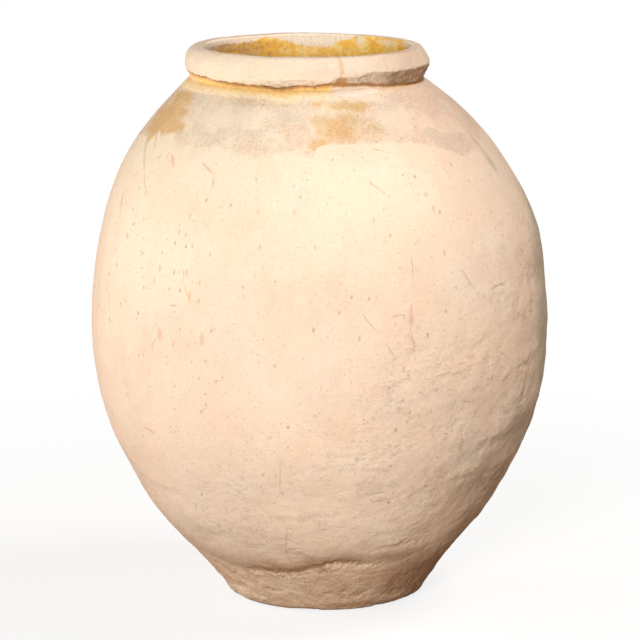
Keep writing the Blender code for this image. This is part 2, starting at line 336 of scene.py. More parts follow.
# Broad shallow hollows: azimuth, half width in degrees, height, reach up and down, depth
FLATS = (
    (-2, 52, 0.615, 0.05, 0.003), (-176, 46, 0.14, 0.075, 0.0024), (-150, 30, 0.06, 0.03, 0.0012),
    (-172, 52, 0.02, 0.015, 0.0042), (-6, 40, 0.018, 0.015, 0.0022), (-22, 19, 0.262, 0.03, 0.004),
    (-38, 16, 0.186, 0.026, 0.0036), (-54, 14, 0.128, 0.018, 0.0028),
)
# Soil, partly painted shade, that stays below the crease and on the lower right side: azimuth, height, half
# widths, strength
SOIL_ABOVE = 0.026
SOIL_BELOW = 0.007
SOIL_PATCHES = (
    (-40, 0.05, 26, 0.046, 1), (-58, 0.094, 18, 0.014, 0.7), (-16, 0.075, 22, 0.06, 0.65),
    (-72, 0.012, 24, 0.0045, 1), (-150, 0.1, 14, 0.02, 0.1), (-83, 0.0905, 7, 0.005, 1),
    (-96, 0.078, 12, 0.006, 1), (-78, 0.05, 24, 0.026, 0.4), (-31, 0.15, 16, 0.085, 0.5),
)
# Single folds, ledges, dents and cracks: azimuth, height, half length, half width, depth of the hollow,
# height of the swelling above it, and how far its right end is turned up in degrees
FOLDS = (
    (-31, 0.366, 0.065, 0.013, 0.0017, 0.0018, 8), (-28.5, 0.318, 0.012, 0.022, 0.0018, 0.0008, 16),
    (-23.5, 0.47, 0.008, 0.022, 0.0012, 0, 0), (-25, 0.448, 0.01, 0.016, 0.0014, 0.0008, 0),
    (-38, 0.264, 0.05, 0.012, 0.0016, 0.002, 3), (-45, 0.2155, 0.04, 0.009, 0.0014, 0.0014, 3),
    (-60, 0.115, 0.06, 0.01, 0.0016, 0.002, 0), (-68, 0.14, 0.024, 0.008, 0.001, 0.001, -6),
    (-84, 0.089, 0.012, 0.006, 0.0026, 0.0006, 8), (-59, 0.1472, 0.018, 0.0035, 0.0008, 0.0008, 16),
    (-63, 0.159, 0.012, 0.0035, 0.0007, 0.0005, 0), (-69.5, 0.1947, 0.013, 0.0035, 0.0008, 0.0008, -8),
    (-70.5, 0.18, 0.012, 0.0035, 0.0007, 0.0007, 14), (-77, 0.245, 0.04, 0.0045, 0.0004, 0.0005, -4),
    (-56.5, 0.374, 0.032, 0.0045, 0.0006, 0.0006, 6), (-38.5, 0.488, 0.015, 0.003, 0.001, 0.0006, 8),
    (-48, 0.416, 0.03, 0.012, 0.001, 0.0008, 14), (-112, 0.116, 0.03, 0.006, 0.0006, 0.0006, 0),
    (-140, 0.19, 0.05, 0.009, 0.0006, 0.0006, -5), (-95, 0.17, 0.05, 0.007, 0.0007, 0.0007, 4),
    (40, 0.25, 0.08, 0.012, 0.0016, 0.0016, 3), (95, 0.15, 0.07, 0.01, 0.0014, 0.0016, -4),
    (135, 0.33, 0.06, 0.012, 0.0012, 0.0014, 6), (70, 0.43, 0.05, 0.01, 0.001, 0.001, -8),
)
# Chips along the foot: azimuth, height, half length, half height and depth
CHIPS = (
    (-118, 0.036, 0.005, 0.003, 0.0009), (-112, 0.034, 0.008, 0.003, 0.0011),
    (-104, 0.038, 0.004, 0.0025, 0.0008), (-88, 0.033, 0.007, 0.0035, 0.0013),
    (-80, 0.037, 0.004, 0.003, 0.0009), (-72, 0.027, 0.008, 0.003, 0.0013),
    (-49, 0.022, 0.014, 0.006, 0.0018), (-140, 0.03, 0.01, 0.004, 0.0011),
    (20, 0.028, 0.012, 0.005, 0.0014), (100, 0.03, 0.01, 0.005, 0.0014),
)


def roughness_of(points, azimuth, height):
    """Share of the full relief, 0 where the wall was smoothed and 1 where it was left rough."""
    start = around(azimuth, ROUGH_TOPS)
    lower = smoothstep(start + 0.06, start - 0.16, height)
    left_calm = 1 - 0.55 * near_azimuth(azimuth, -145, 55) * smoothstep(0.08, 0.16, height)
    right = near_azimuth(azimuth, -10, 58) * smoothstep(0.66, 0.5, height)
    patches = 0.22 * noise(points, 0.16, 31)
    return np.clip(np.maximum(lower * left_calm, right) + patches, 0.0, 1.0)


def torn_share(points, rough):
    """1 in the small patches where the clay's skin tore while it was worked."""
    torn = rough * smoothstep(0.12, 0.5, noise(points, (0.085, 0.085, 0.045), 9))
    foot = smoothstep(FOOT_ROUGH_HEIGHT, FOOT_ROUGH_HEIGHT - 0.015, points[..., 2])
    return np.maximum(torn, foot * smoothstep(-0.4, 0.4, noise(points, 0.03, 46)))


def crease_share(points, azimuth, height):
    """Share of the crease's depth: a slow draw-in from above and a ragged lip below."""
    ragged = 0.0012 * noise(points, 0.03, 41) + 0.0017 * noise(points, 0.012, 42)
    above = height - around(azimuth, CREASE_HEIGHTS) - ragged
    cut = smoothstep(-CREASE_LIP, 0.0, above) * np.exp(-((np.maximum(above, 0.0) / CREASE_FADE) ** 1.4))
    return cut * around(azimuth, CREASE_SHARES) * (1 + 0.45 * noise(points, 0.035, 43))


def soil_share(points, azimuth, height):
    """Share of the brown earth, with painted shade, that lies above and below the crease and on the lower
    right side.
    """
    above = height - around(azimuth, CREASE_HEIGHTS) - 0.004 * noise(points, 0.02, 50)
    band = smoothstep(SOIL_ABOVE, 0.0, above) * smoothstep(-SOIL_BELOW, 0.0, above)
    strength = np.clip(1.15 * around(azimuth, CREASE_SHARES) + 0.1, 0, 1)
    return np.clip(np.maximum(band * strength, patches_share(azimuth, height, SOIL_PATCHES)), 0, 1)


def crumbs_share(points, azimuth, height):
    """1 along the crease's broken lower lip, in ragged patches."""
    away = (height - around(azimuth, CREASE_HEIGHTS) + CRUMB_DROP) / CRUMB_REACH
    patches = smoothstep(-0.35, 0.25, noise(points, 0.028, 47))
    return hump(away) * patches * np.clip(around(azimuth, CREASE_SHARES) + 0.25, 0, 1)


def folds_relief(points, azimuth, height):
    """The single folds and chips, each with a ragged outline."""
    out = np.zeros(height.shape)
    ragged = 0.8 * noise(points, 0.022, 44) + 0.45 * noise(points, 0.009, 45)
    for centre, level, half_length, half_width, depth, swell, tilt in FOLDS:
        along = np.radians(wrapped(azimuth - centre)) * GIRTH_RADIUS
        up = height - level
        turn = math.radians(tilt)
        x = (along * math.cos(turn) + up * math.sin(turn)) / half_length
        y = (up * math.cos(turn) - along * math.sin(turn)) / half_width + 0.8 * ragged
        profile = 1.4 * swell * np.logaddexp(0.0, 4 * y) / 4 - 0.85 * depth * smoothstep(1.2, -0.6, y)
        out += hump(x) * hump(y) * profile
    for centre, level, half_length, half_height, depth in CHIPS:
        x = np.radians(wrapped(azimuth - centre)) * FOOT_RADIUS / half_length
        y = (height - level) / half_height
        out -= depth * smoothstep(1.5, 0.5, np.sqrt(x**2 + y**2) + ragged)
    return out


def relief_of(points, azimuth, height, rough):
    """How far the hand-made surface stands out from the turned outline."""
    share = SMOOTH_SHARE + (1 - SMOOTH_SHARE) * rough
    foot = smoothstep(FOOT_ROUGH_HEIGHT, FOOT_ROUGH_HEIGHT / 2, height)
    torn = torn_share(points, rough)
    gritty = share + foot + torn
    shown = {"everywhere": 1.0, "smoothed": share, "rough": rough, "gritty": gritty, "foot": foot}
    out = layered(points, WALL_LAYERS, shown)
    tears = smoothstep(0.2, 0.0, np.abs(noise(points, TEAR_SIZE, 8)))
    out -= TEAR_DEPTH * torn * tears * (1 - 0.75 * foot)
    out -= CREASE_DEPTH * crease_share(points, azimuth, height)
    out += CRUMB_DEPTH * crumbs_share(points, azimuth, height) * noise(points, CRUMB_SIZE, 48)
    out += folds_relief(points, azimuth, height)
    for centre, half_width, level, reach, depth in FLATS:
        out -= depth * near_azimuth(azimuth, centre, half_width) * hump((height - level) / reach)
    notch = hump((height - SLAB_EDGE_HEIGHT) / SLAB_NOTCH_WIDTH)
    out -= SLAB_NOTCH_DEPTH * notch * np.clip(0.4 + 1.2 * noise(points, 0.04, 10), 0, 1.5)
    crevice = smoothstep(NECK_HEIGHT - CREVICE_HEIGHT, NECK_HEIGHT, height)
    girth = hump((height - GIRTH_HEIGHT) / GIRTH_INSET_HEIGHT)
    return out - OUTLINE_INSET - GIRTH_INSET * girth - CREVICE_DEPTH * crevice


# Where the glaze, the stains, and the painted light and shade lie

# Lower edge of the shoulder's stain, and how softly it ends, by azimuth
TIDE_HEIGHTS = (
    (-170, 0.676), (-163, 0.68), (-160, 0.672), (-157.5, 0.671), (-155.5, 0.691), (-153, 0.688),
    (-151, 0.683), (-148, 0.689), (-145, 0.691), (-142, 0.677), (-139.5, 0.671), (-133.5, 0.677),
    (-129, 0.676), (-123, 0.68), (-117.5, 0.679), (-112, 0.677), (-108.5, 0.674), (-106, 0.671),
    (-102, 0.677), (-97, 0.679), (-94, 0.674), (-90, 0.673), (-88.5, 0.685), (-85.5, 0.689), (-72, 0.6905),
    (-64.5, 0.689), (-60, 0.686), (-55, 0.6875), (-50, 0.682), (-44.5, 0.676), (-39.5, 0.667),
    (-35.5, 0.661), (-20, 0.672), (10, 0.69), (50, 0.66), (90, 0.675), (130, 0.65),
)
TIDE_SOFTNESS = (
    (-170, 0.006), (-146, 0.005), (-138, 0.012), (-110, 0.012), (-95, 0.008), (-88, 0.0035), (-40, 0.004),
    (-20, 0.01), (90, 0.012),
)
# (azimuth, height, half width in degrees, half height, strength) of warm ochre, of pale and of grey patches
OCHRE_PATCHES = (
    (-78, 0.71, 9, 0.021, 0.85), (-85, 0.708, 7, 0.021, 0.65), (-88, 0.688, 5, 0.014, 0.7),
    (-69, 0.708, 8, 0.018, 0.5), (-71, 0.7365, 12, 0.009, 0.8), (-84, 0.7365, 8, 0.007, 0.65),
    (-97, 0.706, 5, 0.012, 0.3), (-158, 0.732, 11, 0.013, 1), (-157.5, 0.712, 14, 0.02, 1.25),
    (-158, 0.696, 13, 0.016, 1.2), (-160, 0.682, 6, 0.014, 1.1), (-148, 0.7, 6, 0.011, 0.9),
    (-112, 0.7395, 34, 0.0065, 0.36), (20, 0.7, 25, 0.02, 0.5), (100, 0.69, 20, 0.025, 0.7),
)
PALE_PATCHES = (
    (-127, 0.7165, 8, 0.018, 1.1), (-113.5, 0.718, 6, 0.017, 1.1), (-139.5, 0.7025, 5, 0.012, 0.8),
    (-53.5, 0.7145, 7, 0.017, 1.1), (-44, 0.709, 6, 0.014, 1.1), (-146.5, 0.678, 6, 0.013, 1.2),
    (-130, 0.735, 5, 0.006, 0.6), (-103, 0.697, 6, 0.01, 0.8), (-119, 0.688, 5, 0.006, 0.8),
    (-91, 0.716, 4, 0.01, 0.5), (-30, 0.7, 8, 0.02, 0.9), (60, 0.715, 25, 0.015, 0.8),
    (150, 0.715, 22, 0.016, 0.8),
)
GREY_PATCHES = (
    (-37.5, 0.681, 8, 0.01, 1.1), (-42.5, 0.694, 6, 0.008, 1), (-35, 0.67, 6, 0.007, 0.9),
    (-110.5, 0.701, 5, 0.006, 0.65), (-125, 0.692, 8, 0.007, 0.55), (-97.5, 0.722, 8, 0.011, 0.8),
    (-121, 0.7345, 9, 0.005, 0.7), (-64.5, 0.708, 6, 0.016, 0.6), (-98, 0.736, 12, 0.006, 0.6),
    (-16, 0.69, 8, 0.03, 0.45), (-72, 0.738, 13, 0.007, 0.8), (-60, 0.736, 12, 0.008, 0.45),
    (-141, 0.733, 10, 0.01, 0.5), (-135, 0.6995, 3, 0.012, 0.5), (120, 0.7, 30, 0.02, 0.6),
)
# Pale scuffs along the bottom edge
SCUFF_PATCHES = (
    (-142, 0.022, 7, 0.006, 0.9), (-132, 0.017, 6, 0.004, 0.8), (-124, 0.03, 4, 0.003, 0.5),
    (-154, 0.034, 6, 0.005, 0.6), (-55, 0.02, 4, 0.005, 0.8), (-106, 0.036, 4, 0.003, 0.5),
    (-74, 0.052, 6, 0.006, 0.4), (-66, 0.034, 4, 0.003, 0.5), (30, 0.02, 12, 0.006, 0.7),
    (120, 0.022, 12, 0.006, 0.7),
)
# Crisp whitish patches on the neck
CHALK_PATCHES = ((-70, 0.7512, 8.5, 0.0048, 1.15), (-60, 0.7525, 5, 0.0034, 1.1))
# Painted shade: grey patches over the side that stands away from the light, and how far their edge wanders
WEATHERED_PATCHES = (
    (2, 0.46, 25, 0.15, 1.38), (4, 0.31, 23, 0.12, 1.32), (45, 0.36, 46, 0.2, 0.36),
    (-20, 0.42, 12, 0.07, 0.5), (-24, 0.22, 14, 0.06, 0.5), (-6, 0.6, 12, 0.04, 0.25),
    (-12, 0.69, 7, 0.02, 0.25), (-22, 0.655, 2.5, 0.03, 0.6),
)
WEATHERED_DRIFT = 13.0
# The yellow glaze under the collar: its lower edge and its strength, by azimuth
BAND_BOTTOMS = (
    (-180, 0.74), (-153, 0.7412), (-133, 0.7441), (-121, 0.7426), (-110, 0.7422), (-98, 0.74),
    (-93, 0.7426), (-84, 0.7456), (-73, 0.7471), (-47, 0.749), (60, 0.747),
)
BAND_SOFTNESS = 0.0065
BAND_STRENGTHS = (
    (-178, 0.8), (-150, 1), (-88, 1), (-80, 0.95), (-77.5, 0.1), (-58, 0), (-54, 0.3), (-38, 0.25),
    (-20, 0), (40, 0), (62, 0.6), (150, 0.8),
)
# The brown at the seam under the collar
RUST_AT_SEAM = 1.0
RUST_REACH = 0.008
# The upper edge of the glaze inside the mouth, by azimuth, and places where it is worn thin
MOUTH_GLAZE_TOPS = (
    (-170, 0.784), (-90, 0.784), (-10, 0.79), (8, 0.797), (22, 0.803), (52, 0.801), (61, 0.8), (65, 0.7945),
    (71, 0.792), (74, 0.788), (77, 0.782), (86, 0.781), (96, 0.783), (99, 0.787), (105, 0.792),
    (110, 0.7955), (116, 0.796), (121, 0.792), (125, 0.788), (132, 0.79), (139, 0.789), (145, 0.79),
    (156, 0.787),
)
WORN_GLAZE_PATCHES = (
    (58.5, 0.792, 3, 0.0075, 0.9), (38, 0.7925, 9, 0.005, 0.65), (12, 0.796, 12, 0.006, 0.8),
    (80, 0.783, 5, 0.003, 0.4), (140, 0.783, 16, 0.01, 0.15),
)
# Depths at which a fine and a broad hollow of the wall count in full
FINE_HOLLOW = 0.0007
BROAD_HOLLOW = 0.0015
# How far from the tide line and from the glaze's edge the shader still tells distances apart
TIDE_LIMIT = 6.0
GLAZE_LIMIT = 4.0
FIELD_NAMES = (
    "hollow", "torn", "ochre", "pale", "grey", "glaze_strength", "thin", "grime", "soil", "sun", "rust",
    "weathered", "flush", "specked", "chalk", "crumbly", "bleach",
)


def patches_share(azimuth, height, table):
    """The strength inside soft oval patches, 0 away from them."""
    share = np.zeros(np.broadcast(azimuth, height).shape)
    for centre, level, half_width, half_height, strength in table:
        away = wrapped(azimuth - centre) / half_width
        distance = np.sqrt(away**2 + ((height - level) / half_height) ** 2)
        share = np.maximum(share, strength * smoothstep(1.45, 0.35, distance))
    return share


def plain_fields(smooth, **own):
    """The clay's fields with nothing special anywhere, and the ones given."""
    fields = dict.fromkeys(FIELD_NAMES, 0.0)
    fields |= {"tide": -TIDE_LIMIT, "glaze": -GLAZE_LIMIT, "lean": centre_shift(smooth[..., 2])}
    fields |= own
    return {name: values + np.zeros(smooth.shape[:2]) for name, values in fields.items()}


def crease_grime(points, above, shares):
    """The dark line in the crease, part painted shade and part muck, and a broken second line under it."""
    line = (above - CREASE_LINE_LIFT) / CREASE_LINE_WIDTH + 1.1 * noise(points, 0.01, 56)
    second = (above + SECOND_LINE_DROP) / SECOND_LINE_WIDTH + 1.6 * noise(points, 0.012, 58)
    broken = smoothstep(-0.2, 0.3, noise(points, 0.016, 59))
    return np.maximum(hump(line) * shares, 0.95 * (hump(second) * broken) * shares)


def wall_fields(points, azimuth, height, rough, out):
    """Smooth fields for the clay's colours on the outside of the wall."""
    fine = out - blurred(out, 6)
    broad = blurred(out, 6) - blurred(out, 30)
    hollow = np.clip(-fine / FINE_HOLLOW, 0, 1) + 0.5 * np.clip(-broad / BROAD_HOLLOW, 0, 1)
    tide = (height - around(azimuth, TIDE_HEIGHTS)) / around(azimuth, TIDE_SOFTNESS)
    bottom = around(azimuth, BAND_BOTTOMS)
    strength = around(azimuth, BAND_STRENGTHS)
    crease = crease_share(points, azimuth, height)
    turned = azimuth + 4.0 * noise(points, 0.03, 51) + 2.2 * noise(points, 0.013, 52)
    raised = height + 0.005 * noise(points, 0.03, 53) + 0.0035 * noise(points, 0.013, 54)
    drift = WEATHERED_DRIFT * smoothstep(0.6, 0.54, height) * noise(points, 0.1, 60)
    seam = around(azimuth, LIP_EDGE_HEIGHTS) - LIP_DROP
    # Painted light: the upper side that faces the key lamp is made paler, cream
    sun = near_azimuth(azimuth, -112, 105) * smoothstep(0.4, 0.64, height)
    sun = 0.85 * sun + 0.35 * near_azimuth(azimuth, -142, 45) * smoothstep(0.26, 0.42, height)
    foot = smoothstep(FOOT_ROUGH_HEIGHT + 0.01, FOOT_ROUGH_HEIGHT - 0.01, height)
    crumbly = foot * smoothstep(-0.5, 0.3, noise(points, 0.03, 55))
    crumbly = crumbly + 0.65 * crumbs_share(points, azimuth, height)
    groove = crease_grime(points, height - around(azimuth, CREASE_HEIGHTS), around(azimuth, CREASE_SHARES))
    under_lip = smoothstep(0.006, 0.0, seam - height) * strength
    under_lip *= 1 + 0.6 * noise(points, 0.012, 57)
    specked = near_azimuth(azimuth, -142, 48) * smoothstep(0.28, 0.4, height) * smoothstep(0.66, 0.56, height)
    return plain_fields(
        points,
        hollow=np.clip(hollow, 0, 1),
        torn=np.maximum(torn_share(points, rough) * (1 - 0.7 * foot), 0.5 * rough),
        crumbly=np.clip(crumbly + 0.25 * rough, 0, 1),
        tide=np.clip(tide, -TIDE_LIMIT, TIDE_LIMIT),
        ochre=patches_share(turned, raised, OCHRE_PATCHES),
        pale=patches_share(turned, raised, PALE_PATCHES),
        grey=patches_share(turned, raised, GREY_PATCHES),
        glaze=np.clip((height - bottom) / BAND_SOFTNESS, -GLAZE_LIMIT, GLAZE_LIMIT),
        glaze_strength=strength,
        thin=0.15 + 0.85 * np.clip((seam - height) / (seam - bottom), 0, 1),
        # Grime with painted shade: deepest in the crease, along the crease's lines and just under the
        # collar's lip
        grime=np.clip(0.3 * crease**4 + 0.72 * groove + 0.55 * under_lip, 0, 1),
        rust=RUST_AT_SEAM * smoothstep(RUST_REACH, 0.0, seam - height) * strength,
        soil=soil_share(points, azimuth, height),
        bleach=0.72 * patches_share(turned, raised, SCUFF_PATCHES),
        flush=np.clip(near_azimuth(azimuth, -184, 42) + 0.5 * near_azimuth(azimuth, -42, 40), 0, 1),
        specked=np.clip(specked + 0.2, 0, 1),
        chalk=patches_share(azimuth, height, CHALK_PATCHES),
        sun=np.clip(sun, 0, 1),
        # Painted shade: grey patches over the side turned away from the lamps
        weathered=patches_share(azimuth + drift, height, WEATHERED_PATCHES),
    )


# Meshes

# The texture map: shares for a ring's shown and hidden rows, the margin, and the strips of columns
SHOWN_SHARE = 0.92
HIDDEN_START = 0.93
HIDDEN_SHARE = 0.07
STRIP_MARGIN = 0.004
STRIPS = 3


def strip_corners(rows, strips, first, share):
    """Texture places of every face corner of a grid whose columns are laid out in strips."""
    across = COLUMNS // strips
    strip, step = np.divmod(np.arange(COLUMNS), across)
    height = share / strips
    steps = np.arange(rows) / rows
    low = first + strip * height + STRIP_MARGIN
    corners = []
    for down, right in ((0, 0), (0, 1), (1, 1), (1, 0)):
        u = STRIP_MARGIN + (1 - 2 * STRIP_MARGIN) * (step + right) / across
        v = low[None, :] + (height - 2 * STRIP_MARGIN) * (steps[:, None] + down / rows)
        corners.append(np.stack([np.broadcast_to(u, v.shape), v], axis=-1))
    return np.stack(corners, axis=2)


def placed(name, data):
    """An object of some data, linked to the scene."""
    thing = bpy.data.objects.new(name, data)
    bpy.context.scene.collection.objects.link(thing)
    return thing


def ring_piece(name, shown, hidden, fields, strips=STRIPS, normals=None):
    """A closed ring: the shown rows, then the hidden rows, then back to the first shown row."""
    grid = np.concatenate([shown, hidden])
    rows = len(grid)
    faces = rows * COLUMNS
    row = np.arange(rows)[:, None]
    column = np.arange(COLUMNS)[None, :]
    after_row, after_column = (row + 1) % rows, (column + 1) % COLUMNS
    corners = [(row, column), (row, after_column), (after_row, after_column), (after_row, column)]
    index = np.stack([r * COLUMNS + c for r, c in corners], axis=-1)
    mesh = bpy.data.meshes.new(name)
    mesh.vertices.add(faces)
    mesh.vertices.foreach_set("co", grid.astype(np.float32).ravel())
    mesh.loops.add(faces * 4)
    mesh.loops.foreach_set("vertex_index", index.ravel().astype(np.int32))
    mesh.polygons.add(faces)
    mesh.polygons.foreach_set("loop_start", np.arange(0, faces * 4, 4, dtype=np.int32))
    mesh.polygons.foreach_set("use_smooth", np.ones(faces, dtype=bool))
    front = strip_corners(len(shown) - 1, strips, 0.0, SHOWN_SHARE)
    back = strip_corners(len(hidden) + 1, 1, HIDDEN_START, HIDDEN_SHARE)
    layer = mesh.uv_layers.new(name="OFBake")
    layer.data.foreach_set("uv", np.concatenate([front, back]).ravel().astype(np.float32))
    for field, values in fields.items():
        full = np.zeros((rows, COLUMNS), np.float32)
        full[: len(shown)] = values
        mesh.attributes.new(field, "FLOAT", "POINT").data.foreach_set("value", full.ravel())
    mesh.update()
    mesh.validate()
    if normals is None:
        normals = grid_normals(shown)
    flat = grid.reshape(-1, 3)[index]
    face_normals = np.cross(flat[..., 2, :] - flat[..., 0, :], flat[..., 3, :] - flat[..., 1, :])
    length = np.maximum(np.linalg.norm(face_normals, axis=-1, keepdims=True), 1e-12)
    corner_normals = np.repeat((face_normals / length)[:, :, None, :], 4, axis=2)
    last = len(shown) - 1
    corner_normals[:last] = normals.reshape(-1, 3)[index[:last]]
    mesh.normals_split_custom_set(corner_normals.reshape(-1, 3).tolist())
    return placed(name, mesh)


def patch_piece(name, shown, back, fields):
    """A small closed sheet: a grid that is shown, the same grid behind it, and the edges between them."""
    rows, columns = shown.shape[:2]
    count = rows * columns
    index = np.arange(count).reshape(rows, columns)
    faces = []
    for r in range(rows - 1):
        for c in range(columns - 1):
            quad = (index[r, c], index[r, c + 1], index[r + 1, c + 1], index[r + 1, c])
            faces.append(quad)
            faces.append(tuple(v + count for v in reversed(quad)))
    rim = [*index[0, :-1], *index[:-1, -1], *index[-1, :0:-1], *index[:0:-1, 0]]
    for first, second in zip(rim, rim[1:] + rim[:1]):
        faces.append((second, first, first + count, second + count))
    mesh = bpy.data.meshes.new(name)
    points = np.concatenate([shown.reshape(-1, 3), back.reshape(-1, 3)])
    mesh.from_pydata(points.tolist(), [], [[int(v) for v in face] for face in faces])
    for field, values in fields.items():
        both = np.concatenate([values.ravel(), values.ravel()]).astype(np.float32)
        mesh.attributes.new(field, "FLOAT", "POINT").data.foreach_set("value", both)
    mesh.polygons.foreach_set("use_smooth", np.ones(len(faces), dtype=bool))
    mesh.update()
    return placed(name, mesh)


# Materials

NOISE_MIDDLE = 0.5
EVEN = (1.0, 1.0, 1.0)
# Noise patterns: humps in a metre, detail, roughness, offset, distortion, and squeeze along each axis
PATTERNS = {
    "cloud": (5, 4, 0.6, 0, 0, EVEN),
    "blotch": (17, 5, 0.62, 3, 0, EVEN),
    "mottle": (70, 5, 0.65, 5, 0, EVEN),
    "grain": (420, 3, 0.6, 7, 0, EVEN),
    "wiped": (26, 5, 0.6, 9, 0, (1, 1, 0.16)),
    "ragged": (160, 4, 0.65, 11, 0, EVEN),
    "flush": (9, 4, 0.6, 21, 0, EVEN),
    "cool": (13, 5, 0.62, 27, 0, EVEN),
    "wrinkle": (66, 7, 0.66, 13, 0.4, (1, 1, 2.4)),
    "crumbs": (250, 5, 0.68, 23, 0.3, EVEN),
    "veil": (34, 6, 0.68, 17, 0, EVEN),
    "stipple": (360, 2, 0.55, 31, 0, EVEN),
    "broken": (90, 2, 0.55, 19, 0, EVEN),
    "vein": (42, 4, 0.6, 25, 0, (1, 1, 2.6)),
    "patches": (55, 3, 0.55, 29, 0, EVEN),
    "pits": (240, 2, 0.55, 15, 0, EVEN),
}


class Value:
    """What a node gives. A sum on it adds the node that works it out."""

    def __init__(self, shader, socket):
        self.shader = shader
        self.socket = socket

    def __add__(self, other):
        return self.shader.math("ADD", self, other)

    def __sub__(self, other):
        return self.shader.math("SUBTRACT", self, other)

    def __mul__(self, other):
        return self.shader.math("MULTIPLY", self, other)

    def line(self, slope, rise):
        """The value times a slope, plus a rise."""
        return self.shader.math("MULTIPLY_ADD", self, slope, rise)

    def about(self, amount, base):
        """A base, a value or a field's name, plus an amount of this noise about its middle."""
        away = self - NOISE_MIDDLE
        return away.line(amount, self.shader.attribute(base) if isinstance(base, str) else base)

    def most(self, other):
        """The larger of two values."""
        return self.shader.math("MAXIMUM", self, other)

    def step(self, low, high, to_low=0.0, to_high=1.0):
        """One value up to low, another from high on, smooth between. Low may be the larger."""
        given = {"Value": self, "From Min": low, "From Max": high, "To Min": to_low, "To Max": to_high}
        return self.shader.node("MapRange", given, "Result", interpolation_type="SMOOTHSTEP")

    def other(self, output):
        """Another output of the same node."""
        return Value(self.shader, self.socket.node.outputs[output])

    def fed(self, inputs):
        """Feeds more inputs of the same node."""
        self.shader.fill(self.socket.node, inputs)

    def scaled(self, amount):
        """This colour made lighter or darker."""
        return self.shader.node("VectorMath", {0: self, "Scale": amount}, "Vector", operation="SCALE")

    def mixed(self, share, colour):
        """This colour with a share of another."""
        return self.shader.mix(share, self, colour)

    def tinted(self, share, tint):
        """This colour multiplied by a share of a tint."""
        return self.shader.mix(share, self, tint, blend_type="MULTIPLY")


class Shader:
    """A node tree, with short ways to add the nodes used here."""

    def __init__(self, owner):
        owner.use_nodes = True
        self.owner = owner
        self.tree = owner.node_tree

    def fill(self, node, inputs):
        """Links values to a node's inputs, given by name or number, or sets them to numbers and colours."""
        for key, value in inputs.items():
            if isinstance(value, Value):
                self.tree.links.new(value.socket, node.inputs[key])
            else:
                node.inputs[key].default_value = value

    def node(self, kind, inputs, output=0, **settings):
        """Adds a node, feeds its inputs and returns one output."""
        node = self.tree.nodes.new("ShaderNode" + kind)
        for key, value in settings.items():
            setattr(node, key, value)
        self.fill(node, inputs)
        return Value(self, node.outputs[output])

    def own(self, name):
        """The output of a node that the tree starts with."""
        return Value(self, self.tree.nodes[name].outputs[0])

    def end(self, name, surface):
        """Hands a surface to the tree's output node."""
        self.fill(self.tree.nodes[name], {0: surface})
        return self.owner

    def math(self, operation, *values):
        return self.node("Math", dict(enumerate(values)), operation=operation)

    def vector(self, operation, *values, output="Vector"):
        return self.node("VectorMath", dict(enumerate(values)), output, operation=operation)

    def mix(self, share, first, second, **settings):
        return self.node("Mix", {0: share, 6: first, 7: second}, 2, data_type="RGBA", **settings)

    def attribute(self, name):
        return self.node("Attribute", {}, "Fac", attribute_name=name)

    def place(self):
        """A point's own place, in metres."""
        return self.node("TexCoord", {}, "Object")

    def noise(self, place, pattern):
        """One of the noise patterns, at a place."""
        per_metre, detail, roughness, offset, distortion, stretch = PATTERNS[pattern]
        if stretch != EVEN:
            place = self.vector("MULTIPLY", place, stretch)
        if offset:
            place = self.vector("ADD", place, (offset, offset * 2, offset * 3))
        numbers = {"Scale": per_metre, "Detail": detail, "Roughness": roughness, "Distortion": distortion}
        return self.node("TexNoise", {"Vector": place, **numbers}, "Fac")


SPECKS_PER_METRE = 115.0
SPECK_SQUEEZE = (1.0, 1.0, 0.6)
FINE_RELIEF = 0.001
CLAY_SHINE = 0.35
CLAY_ROUGHNESS = 0.88

# Colours of the clay and the glaze. A tint multiplies the colour under it
# CREAM is painted light on the side that faces the key lamp
CREAM = (0.762, 0.648, 0.492, 1.0)
PEACH = (0.758, 0.588, 0.455, 1.0)
# Pale clay in blotches and specks, and painted light on the crumbs' crests
BLOOM = (0.785, 0.68, 0.545, 1.0)
# Pale scuffs, and painted light inside the mouth
BLEACHED = (0.88, 0.755, 0.59, 1.0)
# Darker and browner clay towards the bottom
FOOT_CLAY = (0.62, 0.408, 0.255, 1.0)
WIPED_TINT = (0.95, 0.86, 0.77, 1.0)
MOTTLE_TINT = (0.92, 0.84, 0.76, 1.0)
FLUSH_TINT = (1.0, 0.955, 0.93, 1.0)
COOL_TINT = (0.925, 0.94, 0.96, 1.0)
# Painted shade in the hollows of the fine relief
HOLLOW_TINT = (0.78, 0.7, 0.64, 1.0)
STAIN_TINT = (0.86, 0.785, 0.76, 1.0)
GREY_TINT = (0.785, 0.78, 0.775, 1.0)
OCHRE_TINT = (0.9, 0.72, 0.435, 1.0)
# Soil, and painted shade in the crease, on the lower right and on the collar's broken slope
SOIL_TINT = (0.59, 0.485, 0.395, 1.0)
# Grey of the painted shade on the side turned away from the lamps, and of an olive patch on the collar
WEATHERED_TINT = (0.665, 0.7, 0.67, 1.0)
OCHRE = (0.61, 0.415, 0.23, 1.0)
# Dirt, and painted shade in the hollows; also the cracks
DIRT = (0.42, 0.31, 0.22, 1.0)
# Grime, and painted shade in the crease, under the collar and on its broken slope
GRIME = (0.27, 0.15, 0.065, 1.0)
GLAZE = (0.83, 0.45, 0.05, 1.0)
GLAZE_THIN = (0.92, 0.66, 0.245, 1.0)
BAND_GLAZE = (0.815, 0.51, 0.17, 1.0)
BAND_PALE = (0.88, 0.715, 0.44, 1.0)
RUST = (0.43, 0.205, 0.06, 1.0)
GLAZE_BROWN = (0.45, 0.22, 0.045, 1.0)
PINK = (0.64, 0.37, 0.26, 1.0)
CHALK = (0.78, 0.625, 0.51, 1.0)
SPECK = (0.4, 0.29, 0.2, 1.0)

